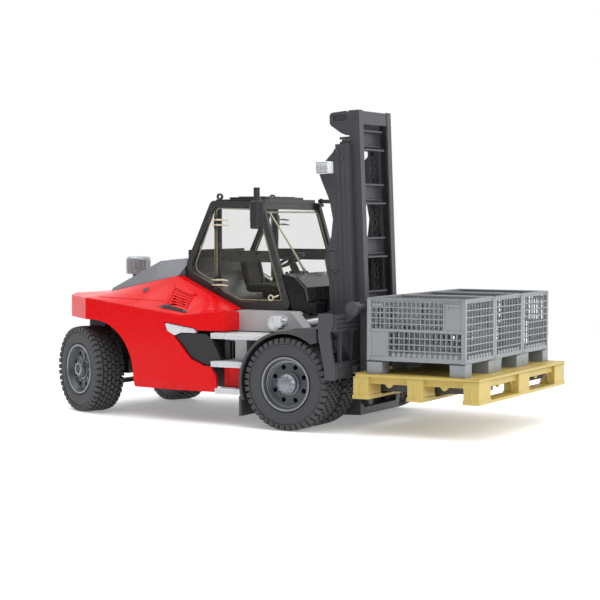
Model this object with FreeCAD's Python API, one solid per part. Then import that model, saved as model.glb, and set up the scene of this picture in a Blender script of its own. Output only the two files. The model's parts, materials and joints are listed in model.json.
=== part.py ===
"""Toy forklift, 1:16, built as separate pieces with real joints.

Working frame: origin on the ground under the front axle, +X towards the forks,
+Y towards the driver's left, +Z up, millimetres.  main() moves the finished model
so that the middle of its floor rectangle is the origin.
"""
import FreeCAD, Part
import math
import os

# ---- fits ----------------------------------------------------------------------------------------
RUN = 0.05            # radial clearance of a turning shaft
SLIDE_GAP = 0.3       # gap between faces that slide past each other
PART_GAP = 0.4        # gap between a moving cover and its surround
WALL = 2.5            # wall of the moulded body shells

# ---- wheels and axles ----------------------------------------------------------------------------
WHEELBASE = 197.0     # front axle to kingpins
TYRE_R = 35.0
RIM_R = 20.2          # tyre bead and rim barrel
RIM_WALL = 2.0
FRONT_OUTER_Y = 92.0  # outer face of the outer front tyre
FRONT_TYRE_W = 25.0
DUAL_GAP = 5.0        # between the twin front tyres
REAR_TYRE_W = 24.5
KINGPIN_Y = 37.0
REAR_OFFSET = 30.0    # kingpin to the outer face of the rear tyre
STEER_REST = -25.5    # rear wheels' angle as modelled, degrees about +Z
AXLE_R = 3.0
HUB_R = 8.0
KINGPIN_R = 2.0
BEAM_END_R = 3.8      # rounded end of the steering beam
STEER_ARM = 10.0
TIE_PIN_R = 1.2
DISH_DEPTH = 7.5      # outer rim face to the front wheel disc
REAR_DISH_DEPTH = 5.0
DISC_T = 3.0
DISC_HOLES = 8
DISC_HOLE_R = 1.9
DISC_HOLE_PITCH_R = 13.2

# ---- levels that follow the wheels ---------------------------------------------------------------
AXLE_Z = TYRE_R
TYRE_TOP = AXLE_Z + TYRE_R
ARCH_GAP = 6.7                        # tyre top to the wheel arch
ARCH_Z = TYRE_TOP + ARCH_GAP          # flat part of the rear arch
SILL_Z = AXLE_Z - 10.0
CREASE_Z = SILL_Z + 7.0
CAB_SILL_Z = TYRE_TOP + 17.2          # underside of the cab frame
REAR_X = -WHEELBASE

# ---- red body ------------------------------------------------------------------------------------
REAR_OVERHANG = 35.0      # kingpins to the rear face
CORNER_L = 36.0           # rear face to the end of the corner bevel
REAR_HALF_W = 42.0
CORNER_HALF_W = 72.0
BODY_HALF_W = 85.0
TUMBLE = 2.5              # the sides lean in this much below the crease
SHOULDER_REAR_Z = ARCH_Z + 17.6
SHOULDER_MID_Z = ARCH_Z + 6.3
SHOULDER_FRONT_Z = ARCH_Z + 11.0
UPPER_HALF_W = 60.0       # top edge of the sloping upper panels
UPPER_REAR_HALF_W = 42.0
UPPER_PEAK_Z = ARCH_Z + 35.9
BODY_FRONT_X = -57.0
WAIST_X = -95.0           # lowest point of the shoulder line
ARCH_AHEAD = 8.8          # arch centre ahead of the kingpins
BOX_BOTTOM_Z = ARCH_Z - 4.5

# ---- hood and air filter -------------------------------------------------------------------------
HOOD_REAR_GAP = 4.0       # hood tip ahead of the kingpins
HOOD_TIP_HALF_W = 40.0
HOOD_TOP_Z = ARCH_Z + 49.5
HOOD_TOP_HALF_W = 37.0
HOOD_FLAT_L = 30.0
HOOD_WALL = 2.0
FILTER_R = 10.5
FILTER_H = 15.0
FILTER_STEM_R = 5.0
FILTER_Y = 27.0

# ---- cab -----------------------------------------------------------------------------------------
CAB_HALF_W = 48.0
CAB_TUBE = 4.5            # width of the frame members, seen from the side
CAB_SILL_H = 6.2          # the two lower members are deeper
CAB_TUBE_T = 4.0          # thickness across the truck
CAB_H = 85.0              # sill to the top of the side frames
CAB_FRONT_X = -19.0
CAB_TOP_FRONT_X = -44.8
CAB_TOP_REAR_X = -91.3
CAB_BACK_X = -114.4
CAB_LOW_REAR_X = -67.6
CAB_KNEE_Z = CAB_SILL_Z + 22.8
CAB_BACK_Z = CAB_SILL_Z + 35.4
PILLAR_X = -86.0
PILLAR_W = 5.0
BELT_Z0 = CAB_SILL_Z + 36.8
BELT_Z1 = CAB_SILL_Z + 45.8
GLASS_T = 1.2
DOOR_T = 1.6
DOOR_HINGE_OUT = 1.9      # hinge line outside the side frames
DOOR_PIN_R = 1.2
DOOR_EYE_R = 2.6
HINGE_LEVELS = (20.6, 67.8)   # above the sill
BASE_HALF_W = 62.0
BASE_BOTTOM_Z = TYRE_TOP + 1.5
ROOF_T = 4.0
EYE_R = 2.6
MIRROR_PIN = (-45.5, 50.5)
MIRROR_AT = (-36.6, 70.0)
MIRROR_H = 21.5
MIRROR_L = 7.0
MIRROR_W = 10.0
STUB_R = 2.4
STUB_H = 11.0
WHEEL_AT = (-46.0, 37.5)      # steering wheel hub: x, height above the sill
WHEEL_TILT = 28.0
STEERING_R = 11.0
GRIP_R = 1.3

# ---- steps, boxes, fenders -----------------------------------------------------------------------
STEP_OUT = 88.0
STEP_IN = 64.0
STEP_T = 4.2
STEP_REAR_X = -67.0
UPPER_STEP_FRONT_X = -12.0
STEP_TOPS = (TYRE_TOP + 0.8, TYRE_TOP - 20.8, TYRE_TOP - 41.2)
FENDER_R = TYRE_R + 2.6       # inside of the fender
FENDER_T = 2.0
FENDER_IN = 36.6
FLAP_T = 2.0
HEADLAMP_AT = (-15.7, 80.0, TYRE_TOP + 9.5)
HEADLAMP_R = 5.4

# ---- mast, built upright and then leaned back about its foot pin ---------------------------------
MAST_TILT = 2.28          # degrees back, as modelled
PIVOT_X = 21.0
PIVOT_Z = AXLE_Z - 21.0
PIVOT_R = 3.0
OUTER_HALF_W = 34.0
OUTER_WEB = 5.9
OUTER_REAR_U = 19.8
OUTER_FRONT_U = 30.5
MAST_FOOT_Z = 7.5
INNER_HALF_W = 27.7
INNER_REAR_U = 29.0
INNER_FRONT_U = 38.0
INNER_WEB = 1.8
INNER_FLANGE = 1.6
INNER_LIP = 6.7           # how far the channel flanges reach inwards
MAST_TOP_Z = 240.6
OUTER_DROP = 25.6         # outer mast below the top of the inner one
OUTER_TOP_Z = MAST_TOP_Z - OUTER_DROP
FAIRING_L = 143.0         # wing guards, from the outer mast's top down
FAIRING_BARREL_DROP = 96.0
INNER_FOOT_Z = 15.0
BEAM_H = 16.0
BEAM_PITCH = 41.4
BEAM_TOP_GAP = 14.6       # mast top to the first full beam
BEAM_COUNT = 4
HEAD_H = 10.5             # the narrow beam at the very top
HORN_L = 16.5
HORN_H = 10.0
LAMP_Z = OUTER_TOP_Z - 17.5
CHAIN_R = 1.9
CHAIN_Y = 15.5

# ---- tilt cylinders ------------------------------------------------------------------------------
TILT_Y = 45.0
TILT_REAR = (-8.0, TYRE_TOP + 7.5)
TILT_FRONT = (16.5, TYRE_TOP + 11.5)
BARREL_R = 3.0
PISTON_R = 1.6
TILT_PIN_R = 1.5
ROD_SHOW = 6.4            # barrel end to the centre of the front eye
TILT_SLACK = 0.5          # slack of the open eye at the mast

# ---- carriage, forks -----------------------------------------------------------------------------
PLATE_Y = 95.0
PLATE_T = 2.3
CARRIAGE_X = 38.3
BEAM_FRONT_X = 44.0
CARRIAGE_Z0 = 41.0
CARRIAGE_Z1 = 88.5
UPPER_BEAM_H = 11.5
LOWER_BEAM_H = 11.5
SHAFT_X = 50.6
SHAFT_Z = 92.3
SHAFT_R = 3.0
EAR_Y = 77.0
EAR_T = 4.0
FORK_Y = 54.0
FORK_W = 15.0
FORK_T = 6.0
FORK_SHANK_X = 47.6
FORK_BOTTOM_Z = 30.5
FORK_LENGTH = 102.0
FORK_BLADE_H = 7.4
FORK_EYE_R = 6.2

# ---- pallet and crates ---------------------------------------------------------------------------
PALLET_X = 54.05
PALLET_L = 100.1
PALLET_HALF_W = 87.3
PALLET_BASE_T = 2.2
PALLET_BLOCK_L = 13.0
PALLET_BLOCK_W = 22.8
STRINGER_T = 2.8
DECK_T = 4.5
DECK_BOARDS = 9
DECK_GAP = 4.2
LOAD_GAP = 0.3            # fork top to the boards above it
FORK_ROOM = 1.4           # bottom boards to the fork's underside
CRATE_L = 77.6
CRATE_W = 54.9
CRATE_GAP = 0.5
CRATE_H = 55.5
CRATE_WALL = 1.8
CRATE_FOOT_H = 9.6
CRATE_FOOT = 12.0
CRATE_X = 63.8
CRATE_FLOOR_T = 2.0


# ---- shape helpers -------------------------------------------------------------------------------
def vec(x, y, z):
    return FreeCAD.Vector(x, y, z)


def block(x0, x1, y0, y1, z0, z1):
    return Part.makeBox(x1 - x0, y1 - y0, z1 - z0, vec(x0, y0, z0))


def bar(axis, radius, start, length):
    """Round bar of the given length from start along +x, +y or +z."""
    direction = {"x": vec(1, 0, 0), "y": vec(0, 1, 0), "z": vec(0, 0, 1)}[axis]
    return Part.makeCylinder(radius, length, vec(*start), direction)


def strut(radius, start, end):
    """Round bar between two points."""
    a = vec(*start)
    run = vec(*end) - a
    return Part.makeCylinder(radius, run.Length, a, run)


def outline(points, radius=0.0):
    """Closed wire through the points, its corners rounded as far as the sides allow."""
    if radius <= 0:
        return Part.makePolygon(points + [points[0]])
    ends = []
    arcs = []
    count = len(points)
    for i, corner in enumerate(points):
        back = points[i - 1] - corner
        ahead = points[(i + 1) % count] - corner
        half = back.getAngle(ahead) / 2
        reach = min(radius / math.tan(half), back.Length * 0.45, ahead.Length * 0.45)
        bend = reach * math.tan(half)
        back = back * (1 / back.Length)
        ahead = ahead * (1 / ahead.Length)
        middle = back + ahead
        if middle.Length < 0.02:
            ends.append((corner, corner))
            continue
        middle = corner + middle * ((bend / math.sin(half) - bend) / middle.Length)
        start = corner + back * reach
        end = corner + ahead * reach
        arcs.append(Part.Arc(start, middle, end).toShape())
        ends.append((start, end))
    for i in range(count):
        leave = ends[i][1]
        arrive = ends[(i + 1) % count][0]
        if (arrive - leave).Length > 1e-6:
            arcs.append(Part.LineSegment(leave, arrive).toShape())
    return Part.Wire(Part.__sortEdges__(arcs))


def side(points, y0, y1, radius=0.0):
    """Plate with an (x, z) outline, from y0 to y1."""
    face = Part.Face(outline([vec(x, y0, z) for x, z in points], radius))
    return face.extrude(vec(0, y1 - y0, 0))


def front(points, x0, x1, radius=0.0):
    """Plate with a (y, z) outline, from x0 to x1."""
    face = Part.Face(outline([vec(x0, y, z) for y, z in points], radius))
    return face.extrude(vec(x1 - x0, 0, 0))


def plan(points, z0, z1, radius=0.0):
    """Plate with an (x, y) outline, from z0 to z1."""
    face = Part.Face(outline([vec(x, y, z0) for x, y in points], radius))
    return face.extrude(vec(0, 0, z1 - z0))


def inset(points, width):
    """Polygon moved inwards by width, or by one width for each side.

    Side i runs from the point before to point i.
    """
    count = len(points)
    widths = width if isinstance(width, list) else [width] * count
    area = sum(points[i - 1][0] * points[i][1] - points[i][0] * points[i - 1][1]
               for i in range(count))
    turn = 1 if area > 0 else -1
    moved = []
    for i in range(count):
        (ax, az), (bx, bz) = points[i - 1], points[i]
        step = turn * widths[i] / math.hypot(bx - ax, bz - az)
        nx, nz = -(bz - az) * step, (bx - ax) * step
        moved.append(((ax + nx, az + nz), (bx + nx, bz + nz)))
    result = []
    for i in range(count):
        (ax, az), (bx, bz) = moved[i]
        (cx, cz), (dx, dz) = moved[(i + 1) % count]
        cross = (bx - ax) * (dz - cz) - (bz - az) * (dx - cx)
        t = ((cx - ax) * (dz - cz) - (cz - az) * (dx - cx)) / cross
        result.append((ax + t * (bx - ax), az + t * (bz - az)))
    return result


def lathe(profile, x, z):
    """Ring turned about the line along Y through (x, z) from (radius, y) points."""
    wire = Part.makePolygon([vec(x + r, y, z) for r, y in profile + profile[:1]])
    return Part.Face(wire).revolve(vec(x, 0, z), vec(0, 1, 0), 360)


def loft(sections):
    """Solid skinned straight over (x, outline) sections of equal corner count."""
    wires = [outline([vec(x, y, z) for y, z in points]) for x, points in sections]
    return Part.makeLoft(wires, True, True)


def mirrored(shape):
    return shape.mirror(vec(0, 0, 0), vec(0, 1, 0))


def join(*shapes):
    return shapes[0].fuse(list(shapes[1:])).removeSplitter()


def pair(shape):
    """The shape and its mirror image as two solids of one node."""
    return Part.makeCompound([shape, mirrored(shape)])


def turned(shape, x, y, degrees):
    """Shape turned about the upright line through (x, y)."""
    copy = shape.copy()
    copy.rotate(vec(x, y, 0), vec(0, 0, 1), degrees)
    return copy


def leaned(shape):
    """Shape of the upright mast leaned back about the foot pin."""
    copy = shape.copy()
    copy.rotate(vec(PIVOT_X, 0, PIVOT_Z), vec(0, 1, 0), -MAST_TILT)
    return copy


# ---- wheels --------------------------------------------------------------------------------------
def tyre(x, outer_y, width):
    """Tyre with rounded shoulders and three tread grooves, outer face at outer_y."""
    shoulder = 3.0
    groove = 0.9
    half = width / 2
    mid = outer_y - half
    profile = [(RIM_R, -half + 1.5), (RIM_R + 6, -half), (TYRE_R - shoulder, -half + 0.6),
               (TYRE_R, -half + shoulder)]
    for at in (-half / 2, 0.0, half / 2):
        profile += [(TYRE_R, at - groove), (TYRE_R - 1.2, at - groove / 2),
                    (TYRE_R - 1.2, at + groove / 2), (TYRE_R, at + groove)]
    profile += [(TYRE_R, half - shoulder), (TYRE_R - shoulder, half - 0.6),
                (RIM_R + 6, half), (RIM_R, half - 1.5)]
    return lathe([(r, mid + y) for r, y in profile], x, AXLE_Z)


def disc_holes(x, y0, y1):
    """The round windows of a wheel disc."""
    holes = []
    for i in range(DISC_HOLES):
        angle = 2 * math.pi * (i + 0.5) / DISC_HOLES
        at = (x + DISC_HOLE_PITCH_R * math.cos(angle), y0,
              AXLE_Z + DISC_HOLE_PITCH_R * math.sin(angle))
        holes.append(bar("y", DISC_HOLE_R, at, y1 - y0))
    return holes


def rim(x, outer_y, width, dish, hub_length):
    """Rim barrel, dished disc and bored hub, outer face at outer_y, open inwards."""
    bore = AXLE_R + RUN
    face = outer_y - dish
    back = face - DISC_T
    shape = lathe([(bore, back - hub_length), (HUB_R, back - hub_length), (HUB_R, back),
                   (RIM_R - RIM_WALL, back), (RIM_R - RIM_WALL, outer_y - width + 1.5),
                   (RIM_R, outer_y - width + 1.5), (RIM_R, outer_y - 1.5),
                   (RIM_R - RIM_WALL, outer_y - 1.5), (RIM_R - RIM_WALL - 2, face),
                   (bore, face)], x, AXLE_Z)
    return shape.cut(disc_holes(x, back - 1, face + 1))


def hub_cap(x, outer_y, dish):
    """Domed cap seated on the disc over the end of the axle."""
    face = outer_y - dish
    return lathe([(0, face), (HUB_R - 0.3, face), (HUB_R - 0.3, face + dish - 2.5),
                  (HUB_R - 2.0, face + dish - 0.8), (0, face + dish - 0.4)], x, AXLE_Z)


def front_wheel():
    """Twin front wheel of the left side: tyres, one deep rim and its cap."""
    inner_face = FRONT_OUTER_Y - FRONT_TYRE_W - DUAL_GAP
    tyres = Part.makeCompound([tyre(0, FRONT_OUTER_Y, FRONT_TYRE_W),
                               tyre(0, inner_face, FRONT_TYRE_W)])
    full = 2 * FRONT_TYRE_W + DUAL_GAP
    hub = full - DISH_DEPTH - DISC_T - 2.0
    return tyres, rim(0, FRONT_OUTER_Y, full, DISH_DEPTH, hub), hub_cap(
        0, FRONT_OUTER_Y, DISH_DEPTH)


def rear_wheel():
    """Left rear wheel with its wheels straight: tyre, and rim with a plain cap."""
    outer = KINGPIN_Y + REAR_OFFSET
    wheel = rim(REAR_X, outer, REAR_TYRE_W, REAR_DISH_DEPTH, REAR_TYRE_W - 16.0)
    cap = hub_cap(REAR_X, outer, REAR_DISH_DEPTH)
    return tyre(REAR_X, outer, REAR_TYRE_W), join(wheel, cap)


# ---- steering ------------------------------------------------------------------------------------
BEAM_Z0 = AXLE_Z - 6.0
BEAM_Z1 = AXLE_Z + 6.0
YOKE_T = 3.0


def rear_axle():
    """Steering beam with a round bored eye at each kingpin."""
    reach = KINGPIN_Y
    beam = block(REAR_X - BEAM_END_R, REAR_X + BEAM_END_R, -reach, reach, BEAM_Z0, BEAM_Z1)
    middle = block(REAR_X - 8, REAR_X + 8, -22, 22, BEAM_Z0, BEAM_Z1)
    ends = []
    bores = []
    for y in (-reach, reach):
        ends.append(bar("z", BEAM_END_R, (REAR_X, y, BEAM_Z0), BEAM_Z1 - BEAM_Z0))
        bores.append(bar("z", KINGPIN_R + RUN, (REAR_X, y, BEAM_Z0 - 1),
                         BEAM_Z1 - BEAM_Z0 + 2))
    return join(beam, middle, *ends).cut(bores)


def knuckle():
    """Left steering knuckle, wheels straight: kingpin, yoke, stub axle and arm."""
    x, y = REAR_X, KINGPIN_Y
    low = BEAM_Z0 - SLIDE_GAP - YOKE_T
    high = BEAM_Z1 + SLIDE_GAP
    cheek = y + BEAM_END_R + 0.6
    pieces = [
        bar("z", KINGPIN_R, (x, y, low), high + YOKE_T - low),
        block(x - 4, x + 4, y - 3.4, cheek + 3.2, high, high + YOKE_T),
        block(x - 4, x + 4, y - 3.4, cheek + 3.2, low, low + YOKE_T),
        block(x - 4, x + 4, cheek, cheek + 3.2, low, high + YOKE_T),
        bar("y", AXLE_R, (x, cheek, AXLE_Z), REAR_OFFSET - REAR_DISH_DEPTH - 1.0 - cheek + y),
        block(x - STEER_ARM - 2.6, x + 4, y - 3.4, y + 3.0, low - YOKE_T, low),
        bar("z", TIE_PIN_R, (x - STEER_ARM, y, low - YOKE_T - 4), 4.5),
    ]
    return join(*pieces)


def tie_rod():
    """Track rod below the steering arms, with a short slot round each arm pin."""
    lean = math.radians(STEER_REST)
    shift = -STEER_ARM * math.sin(lean)
    x = REAR_X - STEER_ARM * 0.933
    z1 = BEAM_Z0 - SLIDE_GAP - 2 * YOKE_T - SLIDE_GAP
    z0 = z1 - 3.2
    reach = KINGPIN_Y + 3.2
    rod = block(x - 3.8, x + 3.8, shift - reach, shift + reach, z0, z1)
    slots = []
    for y in (-KINGPIN_Y, KINGPIN_Y):
        slots.append(block(x - 2.4, x + 2.4, shift + y - TIE_PIN_R - 0.25,
                           shift + y + TIE_PIN_R + 0.25, z0 - 1, z1 + 1))
    return rod.cut(slots)


# ---- chassis -------------------------------------------------------------------------------------
SPINE_HALF_W = 21.0
BELLY_HALF_W = 58.0
FRONT_HALF_W = 34.0


def chassis_frame():
    """Spine, belly, front block with the mast pivot shaft, and rear ballast."""
    belly_rear = REAR_X + ARCH_AHEAD + TYRE_R + ARCH_GAP + 10.0
    spine = block(REAR_X - 10, belly_rear, -SPINE_HALF_W, SPINE_HALF_W, BEAM_Z1,
                  ARCH_Z - 0.5)
    ballast = block(REAR_X - REAR_OVERHANG + WALL + 0.5, REAR_X - 16, -SPINE_HALF_W,
                    SPINE_HALF_W, AXLE_Z - 6, ARCH_Z - 0.5)
    link = block(REAR_X - 17, REAR_X - 9, -12, 12, BEAM_Z1, ARCH_Z - 0.5)
    belly = block(belly_rear - 6, -FENDER_R - FENDER_T - 2, -BELLY_HALF_W, BELLY_HALF_W,
                  SILL_Z + 1.5, BASE_BOTTOM_Z)
    nose = block(-FENDER_R - FENDER_T - 3, 9, -FRONT_HALF_W, FRONT_HALF_W, AXLE_Z - 13,
                 BASE_BOTTOM_Z)
    foot = block(5, PIVOT_X + 3.6, -20, 20, PIVOT_Z - 5, PIVOT_Z + 10)
    shaft = bar("y", PIVOT_R, (PIVOT_X, -OUTER_HALF_W, PIVOT_Z), 2 * OUTER_HALF_W)
    axle_hole = bar("y", AXLE_R + 2.5, (0, -FRONT_HALF_W - 1, AXLE_Z), 2 * FRONT_HALF_W + 2)
    frame = join(spine, ballast, link, belly, nose, foot, shaft)
    return frame.cut([axle_hole])


def front_axle():
    """Front axle tube in the chassis, with the two stub shafts for the wheels."""
    end = FRONT_OUTER_Y - DISH_DEPTH - 0.6
    shaft = bar("y", AXLE_R, (0, -end, AXLE_Z), 2 * end)
    tube = bar("y", AXLE_R + 2.5, (0, -FRONT_HALF_W - 1.5, AXLE_Z), 2 * FRONT_HALF_W + 3)
    return join(shaft, tube)


# ---- red body ------------------------------------------------------------------------------------
def body_section(shoulder_w, shoulder_z, upper_w, upper_z):
    """Right-to-left outline of the body across the truck."""
    half = [(shoulder_w - TUMBLE, SILL_Z), (shoulder_w, CREASE_Z),
            (shoulder_w, shoulder_z), (upper_w, upper_z)]
    return [(-y, z) for y, z in half] + [(y, z) for y, z in reversed(half)]


def body_stations():
    """Body outlines from the rear face to the front edge, as (x, outline)."""
    rear = REAR_X - REAR_OVERHANG
    return [
        (rear, body_section(REAR_HALF_W, SHOULDER_REAR_Z, REAR_HALF_W - 6, SHOULDER_REAR_Z + 1.6)),
        (rear + CORNER_L, body_section(CORNER_HALF_W, SHOULDER_REAR_Z - 0.4,
                                       UPPER_REAR_HALF_W, SHOULDER_REAR_Z + 3.2)),
        (PEAK_X, body_section(BODY_HALF_W - 1.7, SHOULDER_MID_Z + 2, UPPER_HALF_W,
                              UPPER_PEAK_Z)),
        (WAIST_X, body_section(BODY_HALF_W, SHOULDER_MID_Z, UPPER_HALF_W,
                               upper_edge_z(WAIST_X))),
        (BODY_FRONT_X, body_section(BODY_HALF_W, SHOULDER_FRONT_Z, UPPER_HALF_W,
                                    upper_edge_z(BODY_FRONT_X))),
    ]


PEAK_X = -116.0
UPPER_SLOPE = 0.46        # fall of the upper edge along the cab, mm per mm


def upper_edge_z(x):
    """Height of the red upper edge ahead of its peak."""
    return UPPER_PEAK_Z - (x - PEAK_X) * UPPER_SLOPE


def body_core():
    """Hollow of the body, open downwards."""
    sections = []
    stations = body_stations()
    for i, (x, points) in enumerate(stations):
        inner = inset(points, WALL)
        low = [(y, z) for y, z in inner]
        low[0] = (low[1][0], SILL_Z - 5)
        low[-1] = (low[-2][0], SILL_Z - 5)
        at = x + WALL if i == 0 else x - WALL if i == len(stations) - 1 else x
        sections.append((at, low))
    return loft(sections)


def arch_cutter():
    """Everything under the flat rear arch and its round front end."""
    centre = (REAR_X + ARCH_AHEAD, ARCH_Z - TYRE_R - ARCH_GAP - 1.6)
    radius = TYRE_R + ARCH_GAP + 1.6
    far = BODY_HALF_W + 5
    rear = REAR_X - REAR_OVERHANG - 5
    round_end = bar("y", radius, (centre[0], -far, centre[1]), 2 * far)
    flat = block(rear, centre[0], -far, far, SILL_Z - 10, ARCH_Z)
    low = block(centre[0], centre[0] + radius, -far, far, SILL_Z - 10, centre[1])
    return [round_end, flat, low]


TRIM_EDGE = [(-112.6, 1.0), (-110.0, -5.6), (-103.4, -9.3), (-97.0, -16.0), (-87.7, -26.6),
             (-75.8, -31.5), (-69.5, -32.0), (-64.5, -39.0), (-64.0, -46.0), (-64.0, -60.0)]


def trim_edge():
    """Front edge of the lower red sides, (x, z), from the accent panel to the sill."""
    return [(x, ARCH_Z + z) for x, z in TRIM_EDGE]


def front_cutter():
    """Space ahead of the lower red sides, where trim, boxes and steps sit."""
    far = BODY_HALF_W + 5
    points = trim_edge() + [(-30, SILL_Z - 12), (-30, BOX_BOTTOM_Z), (-81, BOX_BOTTOM_Z),
                            (-84, ARCH_Z - 2.6)]
    return side(points, -far, far)


def cab_outline(margin=0.0):
    """Side outline of the cab frame, (x, z), moved outwards by margin."""
    points = [(CAB_TOP_REAR_X, CAB_SILL_Z + CAB_H), (CAB_TOP_FRONT_X, CAB_SILL_Z + CAB_H - 1.5),
              (CAB_FRONT_X, CAB_SILL_Z), (CAB_LOW_REAR_X, CAB_SILL_Z),
              (CAB_BACK_X + 2.4, CAB_KNEE_Z), (CAB_BACK_X, CAB_BACK_Z)]
    return inset(points, -margin) if margin else points


def cab_opening(margin=0.0):
    """Side outline of the opening inside the frame members, moved inwards by margin."""
    tube, sill = CAB_TUBE + margin, CAB_SILL_H + margin
    return inset(cab_outline(), [tube, tube, tube, sill, sill, tube])


def hood_edge(x):
    """Half width of the hood's lower edge at x."""
    rear = REAR_X + HOOD_REAR_GAP
    share = (x - rear) / (HOOD_FRONT_X - rear)
    return HOOD_TIP_HALF_W + share * (HOOD_FRONT_HALF_W - HOOD_TIP_HALF_W)


HOOD_FRONT_X = CAB_BACK_X - 1.6
HOOD_FRONT_HALF_W = 57.0


def red_body():
    """The three red mouldings: tail, right side and left side."""
    shell = loft(body_stations()).cut(body_core())
    reach = CAB_HALF_W + PART_GAP + 1.5
    cab_space = side(cab_outline(PART_GAP), -reach, reach)
    front_x = BODY_FRONT_X + 1
    cab_tunnel = block(CAB_BACK_X + 3, front_x, -reach, reach, SILL_Z - 1, CAB_KNEE_Z + 2)
    bay = plan([(REAR_X + 12, -34), (HOOD_FRONT_X + 3, -50), (HOOD_FRONT_X + 3, 50),
                (REAR_X + 12, 34)], ARCH_Z + 2, HOOD_TOP_Z + 5)
    base_room = block(-67.6, front_x, -BASE_HALF_W - SLIDE_GAP, BASE_HALF_W + SLIDE_GAP,
                      SILL_Z - 1, CAB_SILL_Z + 0.2)
    shell = shell.cut(arch_cutter() + [front_cutter(), cab_space, cab_tunnel, bay, base_room])
    split = REAR_X - REAR_OVERHANG + CORNER_L
    far = BODY_HALF_W + 5
    top = HOOD_TOP_Z + 10
    tail_box = block(REAR_X - REAR_OVERHANG - 5, split, -far, far, 0, top)
    tail = shell.common(tail_box)
    vent_x = WAIST_X - 16
    vents = []
    for i in range(6):
        z = SHOULDER_MID_Z + 7.5 + 2.0 * i
        vents.append(block(vent_x, vent_x + 14, -far, -BODY_HALF_W + 14.0, z, z + 0.9))
        vents.append(block(vent_x, vent_x + 14, BODY_HALF_W - 14.0, far, z, z + 0.9))
    right = shell.common(block(split, BODY_FRONT_X + 5, -far, 0, 0, top)).cut(vents)
    left = shell.common(block(split, BODY_FRONT_X + 5, 0, far, 0, top)).cut(vents)
    return tail, right, left


def engine_hood():
    """Sloping hood over the engine bay, hinged along its rear edge."""
    rear = REAR_X + HOOD_REAR_GAP
    ridge = HOOD_FRONT_X - HOOD_FLAT_L

    def section(edge_w, edge_z, top_w, top_z, wall):
        half = [(edge_w - wall, edge_z), (top_w - wall, top_z - wall)]
        return [(-y, z) for y, z in half] + [(y, z) for y, z in reversed(half)]

    slope = (UPPER_PEAK_Z - SHOULDER_REAR_Z - 3.2) / (PEAK_X - REAR_X + REAR_OVERHANG - CORNER_L)

    def edge_z(x):
        base = SHOULDER_REAR_Z + 3.2 + (x - REAR_X + REAR_OVERHANG - CORNER_L) * slope
        return base + PART_GAP

    outer = [(rear, section(hood_edge(rear), edge_z(rear), HOOD_TIP_HALF_W - 2, edge_z(rear) + 2.2, 0)),
             (ridge, section(hood_edge(ridge), edge_z(ridge), HOOD_TOP_HALF_W, HOOD_TOP_Z - 2.5, 0)),
             (HOOD_FRONT_X, section(hood_edge(HOOD_FRONT_X), edge_z(HOOD_FRONT_X),
                                    HOOD_TOP_HALF_W, HOOD_TOP_Z, 0))]
    inner = [(rear + 14, section(hood_edge(rear + 14), edge_z(rear) - 8, HOOD_TIP_HALF_W - 6,
                                 edge_z(rear) + 2.0, HOOD_WALL)),
             (ridge, section(hood_edge(ridge), edge_z(rear) - 8, HOOD_TOP_HALF_W,
                             HOOD_TOP_Z - 2.5, HOOD_WALL)),
             (HOOD_FRONT_X - HOOD_WALL, section(hood_edge(HOOD_FRONT_X), edge_z(rear) - 8,
                                                HOOD_TOP_HALF_W, HOOD_TOP_Z, HOOD_WALL))]
    return loft(outer).cut([loft(inner)])


def engine_block():
    """Moulded engine with cooling ribs, standing in the bay under the hood."""
    x0 = REAR_X + 24
    x1 = HOOD_FRONT_X - 8
    base = block(x0, x1, -24, 24, ARCH_Z - 0.5, ARCH_Z + 16)
    head = block(x0 + 16, x1 - 2, -12, 12, ARCH_Z + 16, ARCH_Z + 24)
    ribs = [block(x0 + 6 + 6 * i, x0 + 8 + 6 * i, -27, 27, ARCH_Z + 4, ARCH_Z + 13)
            for i in range(int((x1 - x0 - 10) // 6))]
    return join(base, head, *ribs)


FILTER_X = REAR_X - 15.0
FILTER_BASE_Z = ARCH_Z + 33.5


def air_filter():
    """Air cleaner: stem out of the tail and a ribbed cap on it."""
    deck = SHOULDER_REAR_Z + 1.9 - WALL
    stem = bar("z", FILTER_STEM_R, (FILTER_X, FILTER_Y, deck + WALL + 1.6),
               FILTER_BASE_Z - deck - WALL - 1.6)
    flange = bar("z", FILTER_STEM_R + 2.2, (FILTER_X, FILTER_Y, deck + WALL + 1.6), 1.8)
    cap = bar("z", FILTER_R, (FILTER_X, FILTER_Y, FILTER_BASE_Z), FILTER_H)
    rounded = cap.makeFillet(2.6, [cap.Edges[0]])
    grooves = []
    for i in range(16):
        angle = math.radians(22.5 * i)
        grooves.append(bar("z", 0.9, (FILTER_X + FILTER_R * math.cos(angle),
                                      FILTER_Y + FILTER_R * math.sin(angle),
                                      FILTER_BASE_Z + 2.5), FILTER_H - 6))
    return join(stem, flange), rounded.cut(grooves)


def accent_panel():
    """Pale trim blade on the left side, above the badge panel."""
    points = [(-111.4, 0.2), (-84.5, -3.4), (-81.9, -6.7), (-96.5, -6.7), (-102.6, -9.1),
              (-109.0, -5.9)]
    outer = BODY_HALF_W - 1.0
    return side([(x, ARCH_Z + z) for x, z in points], outer - 3.5, outer, 0.8)


def badge_panel():
    """Plain dark panel under the accent blade; it carries no marking."""
    points = [(-101.4, -9.9), (-96.3, -7.2), (-73.7, -7.2), (-68.3, -11.7), (-60.3, -26.7),
              (-67.4, -27.1), (-69.1, -30.9), (-75.4, -30.4), (-86.9, -25.6), (-96.0, -15.2)]
    outer = BODY_HALF_W - 1.6
    return side([(x, ARCH_Z + z) for x, z in points], outer - 4.0, outer, 0.6)


# ---- steps, boxes, fenders -----------------------------------------------------------------------
def fender_clear(extra):
    """Round space of the front wheels, with some extra radius."""
    far = FRONT_OUTER_Y + 10
    return bar("y", FENDER_R + FENDER_T + extra, (0, -far, AXLE_Z), 2 * far)


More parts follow.
